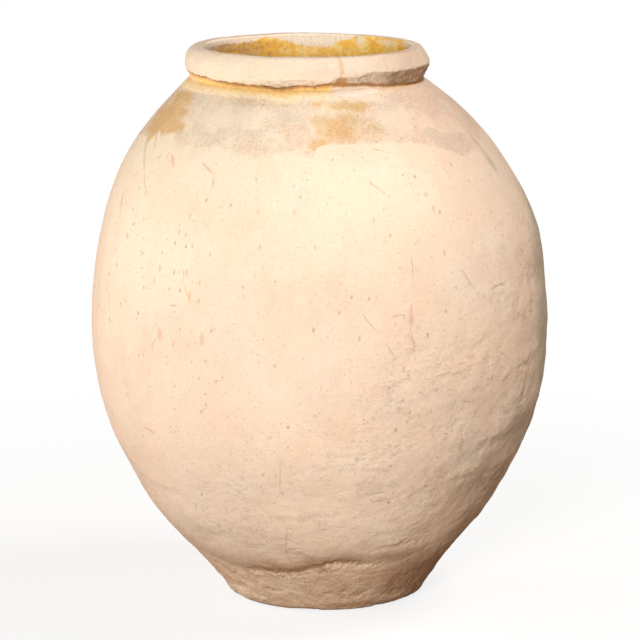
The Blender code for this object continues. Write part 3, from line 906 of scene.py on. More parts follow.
# Marks on the wall: (azimuth, height) of each end, and width
SCRATCHES = (
    (-155.5, 0.467, -154, 0.416, 0.0013), (-80, 0.47, -75.5, 0.437, 0.0013),
    (-74.5, 0.429, -71, 0.402, 0.0013), (-53, 0.523, -48, 0.484, 0.0014),
    (-66.5, 0.543, -66.5, 0.51, 0.0014), (-129.5, 0.468, -127, 0.469, 0.002),
    (-43, 0.484, -39.5, 0.489, 0.002), (-39.5, 0.489, -36, 0.484, 0.0016),
    (-67.5, 0.443, -66.5, 0.398, 0.0009), (-100, 0.154, -103.5, 0.088, 0.001),
    (-98.5, 0.064, -98, 0.042, 0.0017), (-80.5, 0.437, -80.5, 0.432, 0.0036),
    (-73, 0.463, -68.5, 0.465, 0.0012), (-54.5, 0.496, -54.5, 0.492, 0.003),
    (-78, 0.49, -78, 0.487, 0.0028), (-78, 0.686, -73, 0.668, 0.0013), (-71, 0.684, -66, 0.678, 0.0011),
    (-125.4, 0.498, -124.2, 0.484, 0.0016), (-126.2, 0.52, -125.6, 0.505, 0.0013),
    (-120.9, 0.506, -120.9, 0.502, 0.0032), (-126, 0.505, -126, 0.502, 0.0032),
    (-118.5, 0.545, -118.5, 0.542, 0.003), (-115.5, 0.371, -116, 0.368, 0.0036),
    (-114, 0.379, -114, 0.375, 0.003), (-109.5, 0.362, -109.5, 0.359, 0.0034),
    (-107, 0.294, -107, 0.291, 0.0034), (-145.5, 0.663, -146.5, 0.655, 0.0022),
    (-69.5, 0.392, -69.5, 0.386, 0.0034), (-67.5, 0.329, -67.5, 0.325, 0.004),
    (-62, 0.374, -57, 0.379, 0.0016), (-53.5, 0.336, -49.5, 0.33, 0.0014),
    (-76.5, 0.205, -71, 0.208, 0.0016), (-75, 0.192, -70, 0.196, 0.0014),
    (-68.5, 0.158, -62.5, 0.168, 0.0018), (150, 0.5, 142, 0.44, 0.0014), (60, 0.56, 66, 0.5, 0.0014),
    (95, 0.35, 95, 0.3, 0.0018),
)
PINK_SPOTS = (
    (-67.5, 0.48, -67.5, 0.452, 0.005), (-67.5, 0.468, -67.5, 0.449, 0.0085),
    (-132.5, 0.43, -132.5, 0.42, 0.0105), (-125, 0.517, -125, 0.511, 0.006),
    (-134, 0.518, -134, 0.512, 0.0055), (-135.5, 0.5, -135.5, 0.495, 0.005),
    (-120.5, 0.643, -120.5, 0.63, 0.004), (-126, 0.593, -126, 0.588, 0.0055),
    (-159.5, 0.606, -157.5, 0.578, 0.006), (-128, 0.417, -128, 0.411, 0.005),
    (-70.5, 0.336, -70.5, 0.329, 0.0055), (-52, 0.291, -50.5, 0.252, 0.0046),
    (-74.5, 0.643, -69, 0.62, 0.003), (-57, 0.604, -57, 0.598, 0.0055), (-58, 0.622, -58, 0.618, 0.0045),
    (-40, 0.632, -40, 0.627, 0.005), (-57, 0.547, -57, 0.541, 0.005), (-68.5, 0.438, -66, 0.418, 0.004),
    (-119, 0.33, -120.5, 0.323, 0.003), (-140, 0.664, -137, 0.65, 0.006), (-126, 0.66, -121, 0.648, 0.004),
    (-106, 0.605, -106, 0.602, 0.004), (-96, 0.605, -96, 0.601, 0.004), (110, 0.48, 110, 0.46, 0.007),
    (30, 0.42, 30, 0.405, 0.007),
)
OCHRE_SPOTS = (
    (-119.5, 0.435, -119.5, 0.419, 0.0085), (-123.5, 0.491, -123.5, 0.476, 0.0065),
    (-135, 0.411, -135, 0.403, 0.0055), (-129, 0.57, -129, 0.565, 0.005),
    (-126.5, 0.568, -126.5, 0.564, 0.0046), (-142, 0.535, -142, 0.53, 0.0055),
    (-75, 0.596, -75, 0.591, 0.0045), (-91, 0.561, -91, 0.556, 0.004), (-105, 0.559, -105, 0.555, 0.004),
    (-160.5, 0.676, -156.5, 0.661, 0.009), (-156.5, 0.661, -151, 0.64, 0.0055),
    (-151, 0.64, -146, 0.612, 0.0032), (-155, 0.637, -155, 0.628, 0.005),
    (-158, 0.696, -151, 0.668, 0.0045), (-146, 0.615, -146, 0.608, 0.005),
    (-142, 0.667, -142, 0.655, 0.0035), (-74, 0.798, -74, 0.779, 0.0165),
    (-100, 0.262, -101.5, 0.2, 0.0026), (-142, 0.285, -137, 0.279, 0.005), (70, 0.665, 70, 0.6, 0.006),
    (170, 0.66, 170, 0.61, 0.005),
)
FAR_FROM_MARKS = 9.0


def is_slanting(mark):
    """True for a mark that runs neither upright nor level."""
    start_turn, start_height, end_turn, end_height, _ = mark
    return start_turn != end_turn and start_height != end_height


def marks_share(shader, place, table, ragged):
    """1 inside a group of long or oval marks on the unrolled wall, with ragged edges."""
    upright = shader.node("CombineXYZ", {})
    upright.fed({0: shader.attribute("lean")})
    x = shader.node("SeparateXYZ", {}, "X")
    x.fed({0: shader.vector("SUBTRACT", place, upright)})
    turn = shader.math("ARCTAN2", x, x.other("Y") * -1.0)
    unrolled = shader.node("CombineXYZ", {})
    unrolled.fed({0: turn * GIRTH_RADIUS, 1: x.other("Z")})
    nearest = FAR_FROM_MARKS
    for start_turn, start_height, end_turn, end_height, width in sorted(table, key=is_slanting):
        start = (math.radians(wrapped(start_turn + 90)) * GIRTH_RADIUS, start_height)
        end = (math.radians(wrapped(end_turn + 90)) * GIRTH_RADIUS, end_height)
        middle = ((start[0] + end[0]) / 2, (start[1] + end[1]) / 2)
        if start_turn == end_turn or start_height == end_height:
            scale = [2 / (abs(a - b) + width) for a, b in zip(start, end)]
            shift = (-middle[0] * scale[0], -middle[1] * scale[1], 0.0)
            local = shader.vector("MULTIPLY_ADD", unrolled, (*scale, 0.0), shift)
        else:
            seat = {
                "Vector": unrolled,
                "Location": (*middle, 0),
                "Rotation": (0, 0, math.atan2(end[1] - start[1], end[0] - start[0])),
                "Scale": ((math.dist(start, end) + width) / 2, width / 2, 1),
            }
            local = shader.node("Mapping", seat, vector_type="TEXTURE")
        nearest = shader.math("MINIMUM", nearest, shader.vector("LENGTH", local, output="Value"))
    return (nearest + ragged.line(1.6, -0.8)).step(1.15, 0.55)


def weathered_clay(name="weathered_terracotta"):
    """Pale terracotta with stains, grimy hollows that also carry painted shade, marks, and yellow glaze where
    it ran; painted light pales the side that faces the key lamp.
    """
    shader = Shader(bpy.data.materials.new(name))
    place = shader.place()
    field = shader.attribute
    hollow = field("hollow")
    torn = field("torn")
    height = shader.node("SeparateXYZ", {0: place}, "Z")
    patterns = ("cloud", "blotch", "mottle", "grain", "wiped", "ragged")
    cloud, blotch, mottle, grain, wiped, ragged = (shader.noise(place, pattern) for pattern in patterns)

    # Bare clay: cream on the upper side that faces the key lamp, as painted light, peach elsewhere, in clouds
    # and blotches
    bleached = cloud.about(1.2, "sun")
    colour = shader.mix(bleached.step(0.05, 0.85), PEACH, CREAM)
    bloom = blotch * 0.75 + mottle * 0.35
    colour = colour.mixed(bloom.step(0.52, 0.8, 0.0, 0.55), BLOOM)
    colour = colour.tinted(wiped.step(0.5, 0.8, 0.0, 0.45), WIPED_TINT)
    colour = colour.tinted(mottle.step(0.5, 0.75, 0.0, 0.25), MOTTLE_TINT)
    # Darker and browner towards the bottom
    low = blotch.line(0.1, height).step(0.185, 0.085)
    colour = colour.mixed(low * 0.7, FOOT_CLAY)
    # Pale scuffs near the bottom; inside the mouth the same pale colour is painted light on clay that lies
    # partly in shade
    colour = colour.mixed(field("bleach"), BLEACHED)
    flush = shader.noise(place, "flush")
    flush = field("flush").line(0.18, flush)
    colour = colour.tinted(flush.step(0.46, 0.66), FLUSH_TINT)
    cool = shader.noise(place, "cool")
    cool = torn.line(0.06, cool)
    colour = colour.tinted(cool.step(0.52, 0.7, 0.0, 0.8), COOL_TINT)
    colour = colour.scaled(grain.step(0.3, 0.72, 0.945, 1.045))

    # Fine relief: torn clay and crumbs, with painted shade in their hollows and painted light on the crumbs'
    # crests
    wrinkle = shader.noise(place, "wrinkle")
    crumbs = shader.noise(place, "crumbs")
    crumbly = field("crumbly")
    dark = crumbs.step(0.5, 0.36) * crumbly.line(0.8, 0.04)
    wrinkled = wrinkle.step(0.47, 0.36) * torn.line(0.3, 0.03)
    colour = colour.tinted(dark.most(wrinkled), HOLLOW_TINT)
    crest = crumbs.step(0.56, 0.7) * crumbly.line(0.55, 0.05)
    colour = colour.mixed(crest, BLOOM)

    # The shoulder's stain: a mottled veil with a tide line, and ochre, grey and pale patches
    edge = blotch.about(2.6, "tide")
    edge = ragged.about(1.6, edge)
    stained = edge.step(-0.5, 0.7)
    veil = shader.noise(place, "veil").step(0.34, 0.66, 0.3, 1.1)
    pale = mottle.about(1.5, "pale").step(0.05, 1.05)
    flecks = ragged.step(0.52, 0.66, 1.0, 0.45) * grain.step(0.62, 0.4, 0.75, 1.2)
    depth = stained * veil
    depth = depth * pale.line(-0.72, 1.0)
    depth = depth * flecks * 1.15
    grey = mottle.about(1.6, "grey").step(0.15, 0.75)
    depth = depth.most(stained * (grey * 0.8))
    stain = shader.mix(grey, STAIN_TINT, GREY_TINT)
    colour = colour.tinted(depth, stain)
    stipple = shader.noise(place, "stipple").step(0.55, 0.66)
    colour = colour.mixed(stipple * (depth * 0.6), BLOOM)
    ochre = mottle.about(0.8, "ochre")
    ochre = ochre.step(0.12, 0.95) * edge.step(-0.3, 0.3)
    colour = colour.tinted(ochre * 0.95, OCHRE_TINT)

    # Marks, and small specks that are denser on the upper left
    pink, ochre_marks, scratched = (
        marks_share(shader, place, table, ragged) for table in (PINK_SPOTS, OCHRE_SPOTS, SCRATCHES)
    )
    broken = shader.noise(place, "broken").step(0.28, 0.46)
    scratched = scratched * broken
    colour = colour.mixed(pink * 0.6, PINK)
    colour = colour.mixed(ochre_marks * 0.66, OCHRE)
    colour = colour.mixed(scratched * 0.5, SPECK)
    distance = shader.node("TexVoronoi", {"Scale": SPECKS_PER_METRE}, "Distance", feature="F1")
    distance.fed({"Vector": shader.vector("MULTIPLY", place, SPECK_SQUEEZE)})
    pick = shader.node("SeparateColor", {0: distance.other("Color")})
    fewest = field("specked").line(-0.62, 1.0)
    size = pick.step(fewest, 1.02, 0.0, 0.27)
    specks = (size - distance).step(0.0, 0.05)
    speck_tone = shader.mix(pick.other(1), SPECK, PINK)
    colour = colour.mixed(specks * 0.65, speck_tone)
    # Painted shade: grey over the side turned away from the lamps; on the collar's broken slope, a grey-olive
    # patch of its own
    weathered = blotch.about(2.0, "weathered")
    colour = colour.tinted(weathered.step(0.15, 1.15), WEATHERED_TINT)

    # Thin curved cracks in patches of torn skin
    vein = shader.noise(place, "vein")
    cracked = shader.math("ABSOLUTE", vein - NOISE_MIDDLE).step(0.016, 0.0)
    patches = shader.noise(place, "patches").step(0.49, 0.6)
    cracked = cracked * (patches * torn.line(0.9, 0.12))
    colour = colour.mixed(cracked * 0.16, DIRT)

    # Darker in the hollows, partly dirt and partly painted shade; soil with painted shade in the crease above
    # the foot and on the lower right; grime with painted shade in the seams and the crease
    soil = field("soil") * mottle.step(0.2, 0.6, 0.6, 1.0)
    colour = colour.tinted(soil, SOIL_TINT)
    dirt = hollow * mottle.step(0.2, 0.6, 0.35, 1.0)
    colour = colour.mixed(dirt * 0.28, DIRT)
    grime = ragged.about(1.1, "grime")
    colour = colour.mixed(grime.step(0.15, 0.95, 0.0, 0.85), GRIME)

    # Yellow glaze: thick in the middle, thin and pale at its ragged edge
    reach = blotch.about(2.2, "glaze")
    reach = ragged.about(2.6, reach)
    reach = grain.about(1.6, reach)
    strength = field("glaze_strength") * mottle.step(0.22, 0.42, 0.7, 1.0)
    glazed = reach.step(-0.5, 1.1) * strength
    glaze_tone = shader.mix(mottle.step(0.4, 0.68), GLAZE, GLAZE_THIN)
    glaze_tone = glaze_tone.mixed(reach.step(1.3, -0.2, 0.0, 0.5), GLAZE_THIN)
    thin = mottle.about(0.7, "thin")
    glaze_tone = glaze_tone.mixed(thin.step(0.05, 0.3), BAND_GLAZE)
    glaze_tone = glaze_tone.mixed(thin.step(0.35, 0.95), BAND_PALE)
    brown = ragged.step(0.5, 0.68) * blotch.step(0.4, 0.58)
    rim = reach.step(1.5, 0.5) * thin.step(0.1, -0.1)
    brown = brown.most(rim * mottle.step(0.44, 0.6))
    glaze_tone = glaze_tone.mixed(brown * 0.55, GLAZE_BROWN)
    glaze_tone = glaze_tone.scaled(ragged.step(0.32, 0.68, 0.9, 1.08))
    under_grime = grime.step(0.15, 0.95, 1.0, 0.25)
    colour = colour.mixed(glazed * under_grime, glaze_tone)
    chalk = ragged.about(1.2, "chalk")
    colour = colour.mixed(chalk.step(0.36, 0.52, 0.0, 0.85), CHALK)
    rust = ragged.about(1.4, "rust")
    rust = mottle.about(1.0, rust)
    colour = colour.mixed(rust.step(0.3, 1.0, 0.0, 0.75), RUST)
    dull = thin.step(0.0, 0.22).line(0.4, 0.38)
    roughness = glazed.step(0.2, 0.9, CLAY_ROUGHNESS, dull)

    # Fine relief: grit, torn clay, pits, flaky patches and scratches
    wrinkle = wrinkle * torn.line(1.35, 0.25)
    crumbs = crumbs * crumbly.line(1.5, 0.12)
    pits = shader.noise(place, "pits").step(0.64, 0.76, 0.0, 0.7)
    fine = grain.line(0.28, wrinkle + crumbs)
    fine = mottle.line(0.55, fine) - pits
    for mark, sunk in ((scratched, -0.45), (cracked, -0.5), (specks, -0.4)):
        fine = mark.line(sunk, fine)
    bump = shader.node("Bump", {"Strength": 1.0, "Distance": FINE_RELIEF, "Height": fine})
    surface = shader.own("Principled BSDF")
    surface.fed({"Base Color": colour, "Roughness": roughness})
    surface.fed({"Specular IOR Level": CLAY_SHINE, "Normal": bump})
    return shader.owner


CLAY = weathered_clay()


def dressed(piece, slot, *nodes):
    """Gives a piece its material and its body, and hides the nodes that it stands for."""
    piece.data.materials.append(CLAY)
    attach(piece, "root")
    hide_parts(*nodes)


# The wall

# Heights of the joints between the courses
JOINTS = [SLAB_EDGE_HEIGHT + share * (NECK_HEIGHT - SLAB_EDGE_HEIGHT) for share in COURSE_END_SHARES]
JOINT_POINTS = 200
SLAB_EDGE_POINTS = 30
INNER_POINTS = 8
RISER_LEAST = 0.001


def wall_rows():
    """Rows of the outside from under the slab to the neck, and the row where each course ends."""
    share = np.linspace(0, 1, SLAB_EDGE_POINTS)[:, None]
    slope = (STATION_RADII[1] - STATION_RADII[0]) / (STATION_HEIGHTS[1] - STATION_HEIGHTS[0])
    start = np.array([FOOT_RADIUS - SLAB_EDGE_ROUND, 0.0])
    end = np.array([FOOT_RADIUS, SLAB_EDGE_HEIGHT])
    bend = end - (SLAB_EDGE_HEIGHT - SLAB_EDGE_LOW) * np.array([slope, 1.0])
    path = respaced((1 - share) ** 2 * start + 2 * share * (1 - share) * bend + share**2 * end, FOOT_ROW_STEP)
    ends = [len(path) - 1]
    for low, high in zip(JOINTS, JOINTS[1:]):
        heights = np.linspace(low, high, JOINT_POINTS)
        step = FOOT_ROW_STEP if low == JOINTS[0] else ROW_STEP
        rows = respaced(np.stack([wall_radius(heights), heights], axis=1), step)
        path = np.concatenate([path, rows[1:]])
        ends.append(len(path) - 1)
    return path, ends


def under_heights():
    """Height of the collar's underside where it meets the neck, at each azimuth of the grid."""
    return around(AZIMUTHS, LIP_EDGE_HEIGHTS) - LIP_DROP


def neck_riser(radius, height):
    """Rows of the short upright neck, from the wall's top row up to the collar's underside."""
    share = np.linspace(0, 1, RISER_ROWS + 1)[1:, None]
    rise = height + share * (np.maximum(under_heights(), height + RISER_LEAST) - height)
    inwards = radius - around(AZIMUTHS, CREVICE_RADII)
    return np.stack([radius - inwards * share, rise], axis=-1)


def soft_limit(radius, limit):
    """Radii that come smoothly up to a limit and stay under it."""
    room = (limit - radius) / GIRTH_LIMIT_ROUND
    return limit - GIRTH_LIMIT_ROUND * np.logaddexp(0.0, room)


def pushed(path, out):
    """Points (radius, height) of each row and column of a path, moved out along the path's normals."""
    return path[:, None, :] + section_normals(path)[:, None, :] * out[..., None]


def cut_rows(fields, rows):
    """The fields on some of a grid's rows, or on a block of it."""
    return {name: values[rows] for name, values in fields.items()}


def wall_surface():
    """Points, normals and fields of the whole outside of the wall, and the courses' end rows."""
    path, ends = wall_rows()
    smooth = spun(path)
    azimuth = np.broadcast_to(AZIMUTHS, smooth.shape[:2])
    height = smooth[..., 2]
    rough = roughness_of(smooth, azimuth, height)
    out = relief_of(smooth, azimuth, height, rough)
    out = np.where(height < SLAB_EDGE_HEIGHT / 3, np.minimum(out, 0.0), out)
    moved = pushed(path, out)
    moved[..., 0] = soft_limit(moved[..., 0], GIRTH_RADIUS)
    sag = near_azimuth(azimuth, SAG_AZIMUTH, SAG_HALF_WIDTH)
    sag = sag * smoothstep(NECK_HEIGHT - SAG_HEIGHT, NECK_HEIGHT, height)
    moved[..., 1] = np.maximum(moved[..., 1] - SAG_DEPTH * sag, 0.0)
    fields = wall_fields(smooth, azimuth, height, rough, out)
    riser = neck_riser(moved[-1, :, 0], moved[-1, :, 1])
    moved = np.concatenate([moved, riser])
    below = under_heights() - riser[..., 1]
    added = plain_fields(
        spun(riser),
        glaze=GLAZE_LIMIT,
        thin=0.15,
        chalk=patches_share(np.broadcast_to(AZIMUTHS, riser.shape[:2]), riser[..., 1], CHALK_PATCHES),
        glaze_strength=around(AZIMUTHS, BAND_STRENGTHS),
        # Grime with painted shade in the crevice under the collar
        grime=0.9 * smoothstep(0.0048, 0.0006, below),
        rust=RUST_AT_SEAM * smoothstep(RUST_REACH, 0.0, below),
    )
    ends[-1] = len(moved) - 1
    points = spun(moved)
    fields = {name: np.concatenate([values, added[name]]) for name, values in fields.items()}
    return points, grid_normals(points), fields, ends


def inner_rows(low, high):
    """Rows of the inside of the wall between two heights on the outline, from the top down."""
    heights = np.linspace(high, low, INNER_POINTS)
    path = np.stack([wall_radius(heights), heights], axis=1)
    return path - WALL * section_normals(path[::-1])[::-1]


def build_wall():
    points, normals, fields, ends = wall_surface()
    edge = slice(0, ends[0] + 1)
    build_slab(points[edge], cut_rows(fields, edge))
    for i, course in enumerate(COURSES):
        rows = slice(ends[i], ends[i + 1] + 1)
        inside = spun(inner_rows(JOINTS[i], JOINTS[i + 1]))
        own = cut_rows(fields, rows)
        piece = ring_piece(course + "_clay", points[rows], inside, own, normals=normals[rows])
        dressed(piece, COURSE_SLOTS[i], course)
    build_band(points, normals, fields)


# Skins of glaze: how far they stand out, sink in at their edges, and reach back into the clay
SKIN = 0.0005
SKIN_SINK = 0.0007
SKIN_BACK = 0.0016
BAND_SKIN_ROWS = 13


def build_band(points, normals, fields):
    """The skin of yellow glaze under the collar, which sinks into the clay past its ragged edge."""
    rows = slice(len(points) - BAND_SKIN_ROWS, len(points) - 1)
    own = cut_rows(fields, rows)
    inside = smoothstep(-0.6, 0.9, own["glaze"] + 1.2 * noise(points[rows], 0.012, 81))
    inside = inside * own["glaze_strength"]
    lift = SKIN * inside - SKIN_SINK * smoothstep(0.35, 0.05, inside)
    lift[0] = lift[-1] = -SKIN_SINK
    shown = points[rows] + normals[rows] * lift[..., None]
    back = (points[rows] - normals[rows] * SKIN_BACK)[::-4]
    dressed(ring_piece("neck_glaze_skin", shown, back, own), "yellow_glaze", "neck_glaze_band")


# The slab's top lies a little under the lining, and its flat faces run in almost to the middle
SLAB_TOP = FLOOR_THICKNESS - 0.001
MIDDLE_RADIUS = 0.002
SLAB_UNDER_RADII = (MIDDLE_RADIUS, 0.05, 0.09)


def build_slab(edge, fields):
    """The floor slab: the shown edge, then its top and its underside close it."""
    rim = FOOT_RADIUS - WALL
    top = [(rim, SLAB_EDGE_HEIGHT), (rim, SLAB_TOP), (MIDDLE_RADIUS, SLAB_TOP)]
    under = [(radius, 0.0) for radius in SLAB_UNDER_RADII]
    piece = ring_piece("floor_slab_clay", edge, spun(np.array(top + under)), fields)
    dressed(piece, "foot_clay", "floor_slab")


# The rim collar

# Hand-made relief of the collar, as for the wall, how far its cut faces stand in, and the depth at which
# a hollow counts in full
COLLAR_LAYERS = (
    (0.0011, 0.09, 61, "everywhere"),
    (0.0006, 0.024, 62, "everywhere"),
    (0.0003, 0.008, 63, "everywhere"),
    (0.0009, 0.016, 64, "under"),
)
COLLAR_INSET = 0.0004
COLLAR_CUT_INSET = 0.0006
COLLAR_HOLLOW = 0.0006
# On the right the lip is broken back to a slope: where that starts, and how far it goes in as it goes down
BREAK_HEIGHTS = (
    (-180, 0.7664), (-140, 0.7645), (-112, 0.762), (-101, 0.76), (-86, 0.764), (-80, 0.7665),
    (-77.5, 0.7715), (-74, 0.775), (-66, 0.7755), (-59, 0.7787), (-43, 0.7785), (-8, 0.7776), (20, 0.77),
    (50, 0.764), (110, 0.765), (150, 0.767),
)
BREAK_SLOPES = (
    (-180, 2.6), (-81, 2.6), (-77, 0.75), (-70, 0.55), (-55, 0.42), (-20, 0.37), (10, 0.45), (45, 2.2),
    (120, 2.6),
)
# How dark the broken slope is painted, by azimuth: dirt, and painted shade on the slope that faces down
BREAK_TONES = (
    (-80, 0.7), (-72, 0.8), (-67, 0.4), (-62, 0.55), (-56, 0.3), (-50, 0.45), (-45, 1), (-20, 0.95),
    (20, 1),
)
# At the front a thin strip of the lip is cracked along its top edge and stands back a little
STRIP_HEIGHTS = (
    (-124, 0.762), (-117, 0.7653), (-110, 0.7671), (-104, 0.7693), (-91, 0.7705), (-84, 0.7697),
    (-78, 0.766),
)
STRIP_STEP = 0.0011
# On the right the collar's upper edge is worn down to a slope
WORN_AZIMUTH = -18
WORN_HALF_WIDTH = 62
WORN_SLOPE = 0.64
MOUTH_GLAZE_SOFTNESS = 0.0028
MOUTH_RUST = 0.8
# The one run of glaze on the outside, and the chip at its lower end
RUN_AZIMUTH = -74.0


def mouth_rust(azimuth, height):
    """Share of the brown that darkens the glaze on the left inside the mouth."""
    return near_azimuth(azimuth, 130, 56) * smoothstep(0.796, 0.788, height)


def collar_path():
    """The collar's shown section, from the crevice under it, over the top, and down inside."""
    centre = (COLLAR_RADIUS - COLLAR_OUTER_ROUND, COLLAR_MIDDLE)
    lower = arc(centre, COLLAR_OUTER_ROUND, COLLAR_HEIGHT / 2, -60, 0, COLLAR_LOWER_FULLNESS)
    upper = arc(centre, COLLAR_OUTER_ROUND, COLLAR_HEIGHT / 2, 0, 90)[1:]
    inner_centre = (MOUTH_RADIUS + COLLAR_INNER_ROUND, JAR_HEIGHT - COLLAR_INNER_ROUND)
    inner = arc(inner_centre, COLLAR_INNER_ROUND, COLLAR_INNER_ROUND, 90, 180)
    crevice = [(CREVICE_RADIUS - 0.001, NECK_HEIGHT - 0.005)]
    throat = [(MOUTH_RADIUS + 0.0005, NECK_HEIGHT + 0.004), (MOUTH_RADIUS + 0.003, NECK_HEIGHT - 0.01)]
    return respaced(np.concatenate([crevice, lower, upper, inner, throat]), COLLAR_ROW_STEP)


def broken_collar(path, smooth, azimuth, height, out):
    """The collar's points (radius, height) once it is worn and broken, and the shares of the breaks."""
    moved = pushed(path, out)
    ring = smooth[0]
    outside = np.arange(len(path))[:, None] < np.argmax(path[:, 1])
    full = COLLAR_RADIUS - COLLAR_CUT_INSET

    # The worn upper edge on the right
    worn = near_azimuth(azimuth, WORN_AZIMUTH, WORN_HALF_WIDTH) ** 0.5
    top_limit = full + 0.0015 * noise(smooth, 0.03, 68) - WORN_SLOPE * (moved[..., 1] - COLLAR_MIDDLE)
    upper = outside & (moved[..., 1] > COLLAR_MIDDLE)
    cut = np.maximum(moved[..., 0] - top_limit, 0.0) * worn
    moved[..., 0] -= np.where(upper, cut, 0.0)

    # The broken lip on the right, the cracked strip at the front, and the underside
    broken = smoothstep(-80, -76, azimuth) * smoothstep(38, 22, azimuth)
    rough_break = 0.001 * noise(smooth, (0.03, 0.03, 0.006), 69) + 0.0006 * noise(smooth, 0.007, 70)
    start = around(AZIMUTHS, BREAK_HEIGHTS) + 0.0012 * noise(ring, 0.02, 65) + 0.0011 * noise(ring, 0.006, 66)
    below = np.maximum(start - moved[..., 1], 0.0)
    break_limit = full - around(azimuth, BREAK_SLOPES) * below
    break_limit = break_limit + broken * rough_break * smoothstep(0.0, 0.003, below)
    lower = outside & (moved[..., 1] < JAR_HEIGHT - COLLAR_HEIGHT / 3)
    moved[..., 0] = np.where(lower, np.minimum(moved[..., 0], break_limit), moved[..., 0])
    strip_top = around(azimuth, STRIP_HEIGHTS) + 0.0012 * noise(smooth, (0.012, 0.012, 0.2), 73)
    strip = near_azimuth(azimuth, -100, 24) ** 0.5 * smoothstep(0.0006, -0.0006, height - strip_top)
    moved[..., 0] -= np.where(lower, STRIP_STEP * strip * (1 + noise(smooth, (0.02, 0.02, 0.003), 74)), 0.0)
    under_edge = under_heights() + 0.0009 * noise(ring, 0.012, 67)
    moved[..., 1] = np.where(lower, np.maximum(moved[..., 1], under_edge), moved[..., 1])
    moved[..., 0] = np.minimum(moved[..., 0], COLLAR_RADIUS)
    moved[..., 1] = np.minimum(moved[..., 1], JAR_HEIGHT)

    slope = broken * smoothstep(0.0, 0.0025, below) * lower
    breaks = {
        "slope": slope,
        "top_line": slope * smoothstep(0.0032, 0.0008, below) * near_azimuth(azimuth, -58, 16),
        "strip": strip * lower,
        "crack": strip * lower * smoothstep(0.001, 0.0, np.abs(height - strip_top + 0.0003)),
        "seam": smoothstep(0.005, 0.0002, moved[..., 1] - under_edge),
    }
    return moved, breaks


def collar_fields(path, smooth, azimuth, height, out, breaks):
    """Smooth fields for the collar's colours, outside and inside the mouth."""
    fine = out - blurred(out, 4)
    row_inside = (path[:, 0] < MOUTH_RADIUS + COLLAR_INNER_ROUND)[:, None]
    inner_glaze = (around(azimuth, MOUTH_GLAZE_TOPS) - height) / MOUTH_GLAZE_SOFTNESS
    worn_glaze = patches_share(azimuth, height, WORN_GLAZE_PATCHES)
    seam = breaks["seam"] * ~row_inside * (1 + 0.7 * noise(smooth[0], 0.008, 77))
    slope, strip = breaks["slope"], breaks["strip"]
    chip = near_azimuth(azimuth, RUN_AZIMUTH, 6) * slope
    spots = (0.88 + 0.5 * noise(smooth, (0.013, 0.013, 0.005), 76)) * around(azimuth, BREAK_TONES)
    crumbs = near_azimuth(azimuth, 152, 26) * smoothstep(0.797, 0.789, height) * row_inside
    inner_rust = mouth_rust(azimuth, height) * row_inside
    # Grime with painted shade under the collar and on its broken slope, which faces down
    grime = 0.8 * seam + 0.48 * slope * spots + 0.1 * chip + 0.42 * crumbs
    grime = grime + 0.45 * breaks["crack"] + 0.5 * breaks["top_line"]
    soil = slope * spots + 0.38 * crumbs + 0.16 * strip + 0.3 * near_azimuth(azimuth, -38, 34) * ~row_inside
    return plain_fields(
        smooth,
        hollow=np.clip(-fine / COLLAR_HOLLOW, 0, 1),
        torn=np.clip(0.2 + 0.6 * slope + 0.8 * strip, 0, 1),
        crumbly=np.clip(0.12 + 0.7 * slope + 0.7 * strip + 0.5 * row_inside, 0, 1),
        # Painted light: the inside of the mouth above the glaze is made paler, though it lies partly in shade
        bleach=0.75 * row_inside * smoothstep(175, 140, np.abs(azimuth - 10)),
        glaze=np.clip(np.where(row_inside, inner_glaze, 1.5), -GLAZE_LIMIT, GLAZE_LIMIT),
        glaze_strength=np.where(row_inside, 1.0 - worn_glaze, 0.0),
        grime=np.clip(grime, 0, 1),
        soil=np.clip(soil, 0, 1),
        rust=np.clip(1.1 * chip + 0.8 * seam + MOUTH_RUST * inner_rust + 0.18 * crumbs, 0, 1),
        # Painted light: the side that faces the key lamp is made paler
        sun=near_azimuth(azimuth, -128, 75) * 0.8,
        weathered=0.9 * near_azimuth(azimuth, -45, 5) * slope,
    )


def build_collar():
    path = collar_path()
    smooth = spun(path)
    azimuth = np.broadcast_to(AZIMUTHS, smooth.shape[:2])
    height = smooth[..., 2]
    under = smoothstep(NECK_HEIGHT + 0.012, NECK_HEIGHT + 0.004, height)
    out = layered(smooth, COLLAR_LAYERS, {"everywhere": 1.0, "under": under}) - COLLAR_INSET
    moved, breaks = broken_collar(path, smooth, azimuth, height, out)
    fields = collar_fields(path, smooth, azimuth, height, out, breaks)
    points = spun(moved)
    hidden = [(MOUTH_RADIUS + 0.01, NECK_HEIGHT - 0.006), (NECK_RADIUS - 0.008, NECK_HEIGHT - 0.007)]
    piece = ring_piece("rim_collar_clay", points, spun(np.array(hidden)), fields)
    dressed(piece, "rim_clay", "rim_collar")
    build_run(points, path, fields)


RUN_COLUMNS = 9
RUN_LOW = 0.7775
RUN_HIGH = 0.799
RUN_WIDTH = 0.0066
RUN_SOFTNESS = 0.0008


